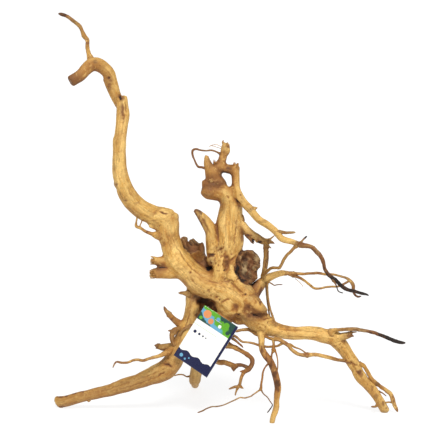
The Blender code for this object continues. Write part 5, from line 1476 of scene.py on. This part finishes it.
def wood_material():
    """Bare root wood: honey tan, with streaks along the grain, red-brown hollows and dark worn places;
    painted shade in hollows, corners and on undersides, and painted highlights on ridges.
    """
    n = Nodes("driftwood_grain")
    mixing = n.layer("mixing")
    both = []
    for name in ("flow_a", "flow_b"):
        flow = n.layer(name, vector=True)
        wide = n.vector("MULTIPLY", flow, (0.12, 0.12, 0.016))
        narrow = n.vector("MULTIPLY", flow, (0.48, 0.48, 0.040))
        fine = n.vector("MULTIPLY", flow, (1.9, 1.9, 0.14))
        both.append((n.noise(wide, 1.0, 3.0, 0.6, 0.6), n.noise(narrow, 1.0, 3.0, 0.6, 0.8),
                     n.noise(fine, 1.0, 2.0)))

    def blended(k):
        part = n.math("MULTIPLY", n.math("SUBTRACT", both[1][k], both[0][k]), mixing)
        return n.math("ADD", both[0][k], part)

    wide, narrow, fine = blended(0), blended(1), blended(2)
    where = n.add("ShaderNodeTexCoord").outputs["Object"]
    patches = n.noise(where, 24.0, 3.0, 0.6)
    mottle = n.noise(where, 95.0, 3.0, 0.65, 0.4)
    speckle = n.noise(where, 420.0, 2.0, 0.6)
    spots = n.noise(where, 210.0, 2.0, 0.6)
    hollow, shade = n.layer("hollow"), n.layer("shade")
    dark, brown, slim = n.layer("dark"), n.layer("brown"), n.layer("slim")

    colour = n.mix(n.ramp(wide, 0.40, 0.64), HONEY, PALE)
    colour = n.mix(n.math("MULTIPLY", n.ramp(patches, 0.47, 0.68), 0.60), colour, AMBER)
    colour = n.mix(n.math("MULTIPLY", n.ramp(mottle, 0.50, 0.68), 0.35), colour, AMBER)
    colour = n.mix(n.math("MULTIPLY", n.ramp(mottle, 0.47, 0.32), 0.30), colour, PALE)
    colour = n.mix(n.math("MULTIPLY", n.ramp(narrow, 0.46, 0.30), 0.40), colour, AMBER)
    streak = n.math("MULTIPLY", n.ramp(narrow, 0.38, 0.27), n.ramp(patches, 0.40, 0.58))
    colour = n.mix(n.math("MULTIPLY", streak, 0.65), colour, RED_BROWN)
    for value, low, high in ((fine, 0.78, 1.10), (narrow, 0.86, 1.08), (speckle, 0.86, 1.11)):
        colour = n.mix(1.0, colour, n.ramp(value, 0.36, 0.64, low, high), "MULTIPLY")
    slim_part = n.math("MULTIPLY", n.ramp(slim, 0.05, 0.9), n.ramp(mottle, 0.36, 0.58, 0.18, 0.72))
    colour = n.mix(slim_part, colour, UMBER)
    stains = n.noise(where, 62.0, 4.0, 0.7, 0.6)
    stained = n.math("MULTIPLY", n.ramp(stains, 0.53, 0.64), n.ramp(slim, 0.0, 0.4, 0.35, 0.9))
    colour = n.mix(stained, colour, RED_BROWN)
    # Painted highlight: ridges paler. Hollows red-brown, partly their own colour and partly painted shade.
    colour = n.mix(n.math("MULTIPLY", n.ramp(hollow, -0.05, -0.45), 0.45), colour, PALE)
    colour = n.mix(n.math("MULTIPLY", n.ramp(hollow, 0.05, 0.40), 0.75), colour, RED_BROWN)
    # Painted shade: corners, undersides and broad shaded parts turn amber, red-brown and deep brown; below
    # 0, painted light makes them paler.
    colour = n.mix(n.math("MULTIPLY", n.ramp(shade, 0.04, 0.30), 0.75), colour, AMBER)
    colour = n.mix(n.math("MULTIPLY", n.ramp(shade, 0.15, 0.46), 0.82), colour, RED_BROWN)
    colour = n.mix(n.math("MULTIPLY", n.ramp(shade, 0.42, 0.75), 0.92), colour, DEEP_BROWN)
    colour = n.mix(1.0, colour, n.ramp(shade, 0.0, -0.25, 1.0, 1.16), "MULTIPLY")
    flecks = n.math("MULTIPLY", n.ramp(speckle, 0.58, 0.70), n.ramp(patches, 0.40, 0.56))
    colour = n.mix(n.math("MULTIPLY", flecks, 0.65), colour, RED_BROWN)
    colour = n.mix(n.ramp(spots, 0.60, 0.70, 0.0, 0.45), colour, AMBER)
    colour = n.mix(n.ramp(spots, 0.42, 0.32, 0.0, 0.35), colour, PALE)
    strand_place = n.vector("MULTIPLY", n.layer("flow_a", vector=True), (0.42, 0.10, 0.06))
    strands = n.noise(strand_place, 1.0, 4.0, 0.65, 0.9)
    old = n.mix(n.ramp(strands, 0.42, 0.56), OLD_BROWN, UMBER)
    old = n.mix(n.ramp(mottle, 0.47, 0.60, 0.0, 0.6), old, RED_BROWN)
    old = n.mix(n.ramp(strands, 0.54, 0.62, 0.0, 0.65), old, WORN_GREY)
    old = n.mix(n.math("MULTIPLY", n.layer("worn"), n.ramp(strands, 0.36, 0.52, 0.45, 1.0)), old, WORN_GREY)
    # Painted shade: old wood turns deep brown in hollows and closed corners.
    old = n.mix(n.ramp(hollow, 0.06, 0.45, 0.0, 0.85), old, DEEP_BROWN)
    old = n.mix(n.ramp(shade, 0.18, 0.48, 0.0, 0.9), old, DEEP_BROWN)
    colour = n.mix(n.math("MULTIPLY", brown, 0.94), colour, old)
    # Dark places: black wood and charred-looking tips, and painted shade in hollows, beside the stump and
    # under lumps.
    colour = n.mix(n.ramp(dark, 0.05, 0.55, 0.0, 0.85), colour, RED_BROWN)
    char_and_shadow = n.math("MULTIPLY", n.ramp(dark, 0.40, 0.90), n.ramp(stains, 0.36, 0.52, 0.72, 1.0))
    colour = n.mix(char_and_shadow, colour, CHAR_AND_SHADOW_BLACK)
    grey = n.ramp(n.noise(where, 300.0, 2.0), 0.3, 0.7, 0.75, 1.15)
    end_grain = n.mix(1.0, SAWN_GREY, grey, "MULTIPLY")
    colour = n.mix(n.layer("sawn"), colour, end_grain)
    n.plug(colour, n.shader.inputs["Base Color"])

    rough = n.ramp(narrow, 0.3, 0.7, 0.66, 0.52)
    n.plug(n.math("ADD", rough, n.math("MULTIPLY", dark, 0.15)), n.shader.inputs["Roughness"])
    n.shader.inputs["Specular IOR Level"].default_value = 0.30
    height = n.math("ADD", n.math("MULTIPLY", narrow, 0.6), n.math("MULTIPLY", fine, 0.35))
    height = n.math("ADD", height, n.math("MULTIPLY", mottle, 0.5))
    height = n.math("ADD", height, n.math("MULTIPLY", spots, 0.30))
    height = n.math("ADD", height, n.math("MULTIPLY", speckle, 0.16))
    bump = n.add("ShaderNodeBump")
    bump.inputs["Strength"].default_value = 0.85
    bump.inputs["Distance"].default_value = 1.5 * MM
    n.plug(height, bump.inputs["Height"])
    n.plug(bump.outputs[0], n.shader.inputs["Normal"])
    return n.material


# Colours of the card's print, as linear light.
PAPER = (0.82, 0.81, 0.76)
NAVY = (0.010, 0.012, 0.050)
LEAF_GREEN = (0.10, 0.33, 0.020)
DEEP_TEAL = (0.018, 0.060, 0.045)
PEACH = (0.62, 0.24, 0.09)
SKY = (0.12, 0.33, 0.48)

NAVY_BAND = 13.0        # height of the band along the card's foot
NAVY_EDGE = 3.5         # width of the strip down its right edge
PICTURE_BAND = 19.0     # height of the coloured band at its top


def print_material():
    """The card's face: a coloured band of leaf-like curves, a bare white panel, and a navy foot and edge."""
    n = Nodes("card_print")
    split = n.add("ShaderNodeSeparateXYZ")
    n.plug(n.layer("card_place", vector=True), split.inputs[0])
    x, y = split.outputs[0], split.outputs[1]

    def over(value, edge, soft=0.12):
        return n.ramp(value, edge - soft, edge + soft)

    def disc(centre_x, centre_y, radius):
        dx, dy = n.math("SUBTRACT", x, centre_x), n.math("SUBTRACT", y, centre_y)
        away = n.math("SQRT", n.math("ADD", n.math("MULTIPLY", dx, dx), n.math("MULTIPLY", dy, dy)))
        return n.ramp(away, radius + 0.12, radius - 0.12)

    drift = n.noise(n.layer("card_place", vector=True), 0.09, 2.0)
    slope = n.math("ADD", n.math("MULTIPLY", x, 0.45), n.math("MULTIPLY", drift, 16.0))
    height = n.math("ADD", y, slope)
    picture = n.mix(over(height, 72.0, 1.2), DEEP_TEAL, SKY)
    picture = n.mix(over(height, 81.0, 1.0), picture, LEAF_GREEN)
    picture = n.mix(over(height, 92.0, 1.0), picture, DEEP_TEAL)
    for centre_x, centre_y, radius, tint in (
        (9.0, 66.5, 5.2, PEACH), (17.5, 61.0, 3.6, PEACH), (24.5, 68.0, 2.6, SKY), (31.0, 61.5, 2.2, PAPER),
        (38.0, 67.0, 4.0, LEAF_GREEN), (44.0, 60.0, 2.6, DEEP_TEAL), (4.0, 58.5, 2.2, LEAF_GREEN),
    ):
        picture = n.mix(disc(centre_x, centre_y, radius), picture, tint)
    face = n.mix(over(y, CARD_HEIGHT - PICTURE_BAND), PAPER, picture)
    rule = n.math("MULTIPLY", over(y, CARD_HEIGHT - PICTURE_BAND - 6.5), n.ramp(y, 48.9, 48.7))
    face = n.mix(n.math("MULTIPLY", rule, n.ramp(x, 34.0, 33.8)), face, LEAF_GREEN)
    for centre_x, radius in ((7.0, 2.1), (13.5, 1.6), (19.0, 1.2), (23.5, 0.9)):
        face = n.mix(disc(centre_x, 40.0, radius), face, NAVY)
    wave = n.math("MULTIPLY", n.math("SINE", n.math("MULTIPLY", x, 0.38)), 1.3)
    foot_line = n.math("ADD", y, wave)
    face = n.mix(n.ramp(foot_line, NAVY_BAND + 0.1, NAVY_BAND - 0.1), face, NAVY)
    for centre_x, centre_y, radius in ((8.0, 6.0, 2.3), (14.5, 4.2, 1.3), (18.5, 7.6, 1.0)):
        face = n.mix(disc(centre_x, centre_y, radius), face, SKY)
    face = n.mix(over(x, CARD_WIDTH - NAVY_EDGE), face, NAVY)
    n.plug(face, n.shader.inputs["Base Color"])
    fibre = n.noise(n.layer("card_place", vector=True), 2.2, 2.0)
    n.plug(n.ramp(fibre, 0.3, 0.7, 0.26, 0.34), n.shader.inputs["Roughness"])
    n.shader.inputs["Coat Weight"].default_value = 0.25
    bump = n.add("ShaderNodeBump")
    bump.inputs["Strength"].default_value = 0.06
    bump.inputs["Distance"].default_value = 0.3 * MM
    n.plug(fibre, bump.inputs["Height"])
    n.plug(bump.outputs[0], n.shader.inputs["Normal"])
    return n.material


def paper_material():
    """The card's bare back and edges."""
    n = Nodes("card_paper")
    fibre = n.noise(n.layer("card_place", vector=True), 1.3, 4.0, 0.6)
    n.plug(n.mix(n.ramp(fibre, 0.3, 0.7), PAPER, (0.80, 0.78, 0.71)), n.shader.inputs["Base Color"])
    n.shader.inputs["Roughness"].default_value = 0.7
    return n.material


def steel_material():
    """Drawn wire, with fine lines along it."""
    n = Nodes("staple_wire")
    where = n.add("ShaderNodeTexCoord").outputs["Object"]
    lines = n.noise(where, 5000.0, 2.0)
    n.plug(n.mix(lines, (0.50, 0.51, 0.53), (0.66, 0.67, 0.69)), n.shader.inputs["Base Color"])
    n.plug(n.ramp(lines, 0.3, 0.7, 0.25, 0.42), n.shader.inputs["Roughness"])
    n.shader.inputs["Metallic"].default_value = 1.0
    return n.material


def sheet_rim(sheet):
    """The points round a sheet's edge, in order."""
    right, left = [line[-1] for line in sheet[1:]], [line[0] for line in sheet[-2:0:-1]]
    return sheet[0] + right + sheet[-1][-2::-1] + left


def make_card():
    """The retail card as a thin bowed sheet, printed on its face."""
    axes, middle = card_axes(), seen(*CARD_MIDDLE)
    bm = bmesh.new()
    places = bm.verts.layers.float_vector.new("card_place")
    sheets = []
    for side in (-0.5, 0.5):
        sheet = []
        for j in range(CARD_ROWS + 1):
            line = []
            for i in range(CARD_COLUMNS + 1):
                x = CARD_WIDTH * (i / CARD_COLUMNS - 0.5)
                y = CARD_HEIGHT * (j / CARD_ROWS - 0.5)
                bow = CARD_SAG * (2.0 * x / CARD_WIDTH) ** 2
                vert = bm.verts.new((middle + axes @ Vector((x, y, SHEET_THICK * side + bow))) * MM)
                vert[places] = (x + 0.5 * CARD_WIDTH, y + 0.5 * CARD_HEIGHT, SHEET_THICK * side)
                line.append(vert)
            sheet.append(line)
        sheets.append(sheet)
    back, front = sheets
    for j in range(CARD_ROWS):
        for i in range(CARD_COLUMNS):
            face = bm.faces.new((front[j][i], front[j][i + 1], front[j + 1][i + 1], front[j + 1][i]))
            face.smooth = True
            other = bm.faces.new((back[j][i], back[j + 1][i], back[j + 1][i + 1], back[j][i + 1]))
            other.smooth = True
            other.material_index = 1
    rim_back, rim_front = sheet_rim(back), sheet_rim(front)
    for k in range(len(rim_front)):
        after = (k + 1) % len(rim_front)
        face = bm.faces.new((rim_back[k], rim_back[after], rim_front[after], rim_front[k]))
        face.material_index = 1
    card = new_object("printed_card", bm)
    card.data.materials.append(print_material())
    card.data.materials.append(paper_material())
    return card


def make_staple():
    """The staple's round wire, bent at its two shoulders."""
    axes, place_at = card_axes(), staple_place()
    radius = 0.5 * STAPLE_WIRE
    side, top = 0.5 * STAPLE_WIDTH - radius, GAP + radius
    line = []
    for direction in (-1, 1):
        arc = []
        for k in range(7):
            angle = 0.5 * math.pi * k / 6.0
            across = side - STAPLE_BEND + STAPLE_BEND * math.sin(angle)
            arc.append((direction * across, top - STAPLE_BEND + STAPLE_BEND * math.cos(angle)))
        leg = arc + [(direction * side, top + radius - STAPLE_LEG + 0.1)]
        line = leg[::-1] if direction < 0 else line + leg
    path = [(place_at + axes @ Vector((x, 0.0, z)), radius) for x, z in line]
    bm = bmesh.new()
    add_tube(bm, path, 12)
    for face in bm.faces:
        face.smooth = True
    staple = new_object("wire_staple", bm)
    staple.data.materials.append(steel_material())
    return staple


def frayed_ends():
    """(h, v, depth) of a stub's end, the way it points (h, v), its half width, the fibres' length and
    number."""
    return [
        ((-95, 204.5, 8), (-1.0, 0.05), 4.2, 6.2, 46), ((-96, 188.2, 8), (-1.0, -0.02), 5.2, 6.2, 56),
        ((147.5, 111.8, 14), (1.0, 0.2), 2.6, 4.0, 12), ((31, 231, 4), (0.2, -1.0), 5.0, 5.0, 14),
        ((44, 227.5, 4), (0.9, -0.3), 4.0, 5.0, 16), ((-30, 333, 11), (-0.1, 1.0), 2.5, 2.0, 10),
        ((-18, 327, 13), (0.1, 1.0), 4.0, 3.6, 9), ((6, 325, 11), (0.3, 1.0), 4.0, 2.2, 12),
        ((-7, 347, 14), (0.2, 1.0), 4.5, 4.0, 16),
    ]


def fibre_lines():
    """Short torn fibres at the frayed ends, spread over each end by a golden angle."""
    lines = []
    for number, ((h, v, depth), (to_h, to_v), half, length, count) in enumerate(frayed_ends()):
        for k in range(count):
            out = half * math.sqrt((k + 0.5) / count)
            side, deep = out * math.cos(2.4 * k), out * math.sin(2.4 * k)
            reach = 3.0 + length * (0.35 + 0.65 * abs(math.sin(7.3 * k + number)))
            turn = 0.22 * math.sin(5.1 * k + number)
            lean_h, lean_v = to_h - to_v * turn, to_v + to_h * turn
            base_h, base_v = h - to_v * side - 3.0 * to_h, v + to_h * side - 3.0 * to_v
            bend = 0.8 * math.cos(3.3 * k)
            lines.append([
                (base_h, base_v, depth + deep, 1.5),
                (base_h + 0.5 * lean_h * reach, base_v + 0.5 * lean_v * reach,
                 depth + deep - 0.5 * bend, 1.1),
                (base_h + lean_h * reach, base_v + lean_v * reach, depth + deep + bend, THINNEST),
            ])
    return lines


def hair_lines():
    """Faint pale hairs: some on the head's finger and one on a right twig."""
    return [
        [(-12, 346.5, 13, 0.5), (-18, 349.5, 12, 0.4), (-24, 349, 11, 0.35), (-28, 347, 10, 0.3)],
        [(-12.5, 344.5, 13, 0.45), (-20, 347, 12, 0.4), (-25, 348.5, 11, 0.35)],
        [(80, 182, 29, 0.5), (86, 177, 30, 0.4), (90, 172, 31, 0.3)],
    ]


# Build.

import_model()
cad_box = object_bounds()

thick_points = (crown_limbs() + long_arm() + torso_limbs() + horn() + long_branch()
                + right_limbs() + right_leg()
                + left_leg() + front_leg() + back_leg() + broken_stubs())
heavy_limbs = [Limb(points, THICK_STEP, i, SMOOTHING_LOSS) for i, points in enumerate(thick_points)]
sawn_points = [right_leg()[0], left_leg()[0]]
sawn_limbs = [Limb(points, THICK_STEP, 0) for points in sawn_points]
twig_points = (top_twigs() + right_twigs() + right_leg_twigs() + front_leg_twigs() + card_side_twigs()
               + left_leg_twigs())
twig_limbs = [Limb(points, TWIG_STEP, i) for i, points in enumerate(twig_points)]
for i, points in enumerate(fibre_lines() + hair_lines()):
    fibre = Limb(points, TWIG_STEP, FIBRE_ORDER + i)
    fibre.radius = FIBRE_SHARE * fibre.radius
    twig_limbs.append(fibre)

wood = wood_material()
heavy = make_heavy_wood(heavy_limbs, sawn_limbs)
twigs = make_twigs(twig_limbs, heavy_limbs)
for piece in (heavy, twigs):
    piece.data.materials.clear()
    piece.data.materials.append(wood)
    piece.data.polygons.foreach_set("material_index", [0] * len(piece.data.polygons))
    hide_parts("driftwood_root")
    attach(piece, "root")
card = make_card()
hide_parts("hang_card")
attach(card, "root")
staple = make_staple()
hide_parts("card_staple")
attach(staple, "root")

# Floor, lights and camera.

FLOOR_HALF = 30000.0
WALL_TOP, CEILING_AT = 0.06, 0.30          # as the upward part of a direction
WALL_LIGHT, CEILING_LIGHT = 1.06, 0.18
bm = bmesh.new()
signs = ((-1, -1), (1, -1), (1, 1), (-1, 1))
bm.faces.new([bm.verts.new((x * FLOOR_HALF * MM, y * FLOOR_HALF * MM, 0.0)) for x, y in signs])
floor = new_object("floor", bm)
floor_look = Nodes("pale_floor")
floor_look.shader.inputs["Base Color"].default_value = (0.20, 0.20, 0.20, 1.0)
floor_look.shader.inputs["Roughness"].default_value = 0.9
floor_look.shader.inputs["Emission Color"].default_value = (1.0, 1.0, 1.0, 1.0)
floor_look.shader.inputs["Emission Strength"].default_value = 0.84
floor.data.materials.append(floor_look.material)

# A studio whose walls are white and whose ceiling is dimmer.
world = bpy.data.worlds.new("studio")
bpy.context.scene.world = world
world.use_nodes = True
sky = world.node_tree
toward = sky.nodes.new("ShaderNodeTexCoord")
apart = sky.nodes.new("ShaderNodeSeparateXYZ")
fade = sky.nodes.new("ShaderNodeMapRange")
fade.interpolation_type = "SMOOTHSTEP"
for socket, value in zip(fade.inputs[1:5], (WALL_TOP, CEILING_AT, WALL_LIGHT, CEILING_LIGHT)):
    socket.default_value = value
sky.links.new(toward.outputs["Generated"], apart.inputs[0])
sky.links.new(apart.outputs[2], fade.inputs[0])
sky.links.new(fade.outputs[0], sky.nodes["Background"].inputs["Strength"])
sky.nodes["Background"].inputs["Color"].default_value = (1.0, 1.0, 1.0, 1.0)

for name, spot, size, power in (
    ("key", (0.25, -1.9, 2.3), 20.0, 3.1),
    ("overhead", (0.2, 0.2, 2.0), 120.0, 0.7),
):
    light = bpy.data.lights.new(name, "SUN")
    light.angle = math.radians(size)
    light.energy = power
    lamp = bpy.data.objects.new(name, light)
    lamp.location = spot
    lamp.rotation_euler = Vector(spot).to_track_quat("Z", "Y").to_euler()
    bpy.context.scene.collection.objects.link(lamp)

SENSOR = 36.0
camera_data = bpy.data.cameras.new("camera")
camera_data.sensor_width = SENSOR
camera_data.lens = SENSOR * EYE_DISTANCE / FRAME_WIDTH
camera_data.clip_end = 20.0
camera = bpy.data.objects.new("camera", camera_data)
turned = Matrix((RIGHT, UP, -SIGHT)).transposed().to_4x4()
camera.matrix_world = Matrix.Translation((EYE - FOOTPRINT_MIDDLE) * MM) @ turned
bpy.context.scene.collection.objects.link(camera)
bpy.context.scene.camera = camera

bpy.context.scene.view_settings.view_transform = "Standard"
bpy.context.view_layer.update()
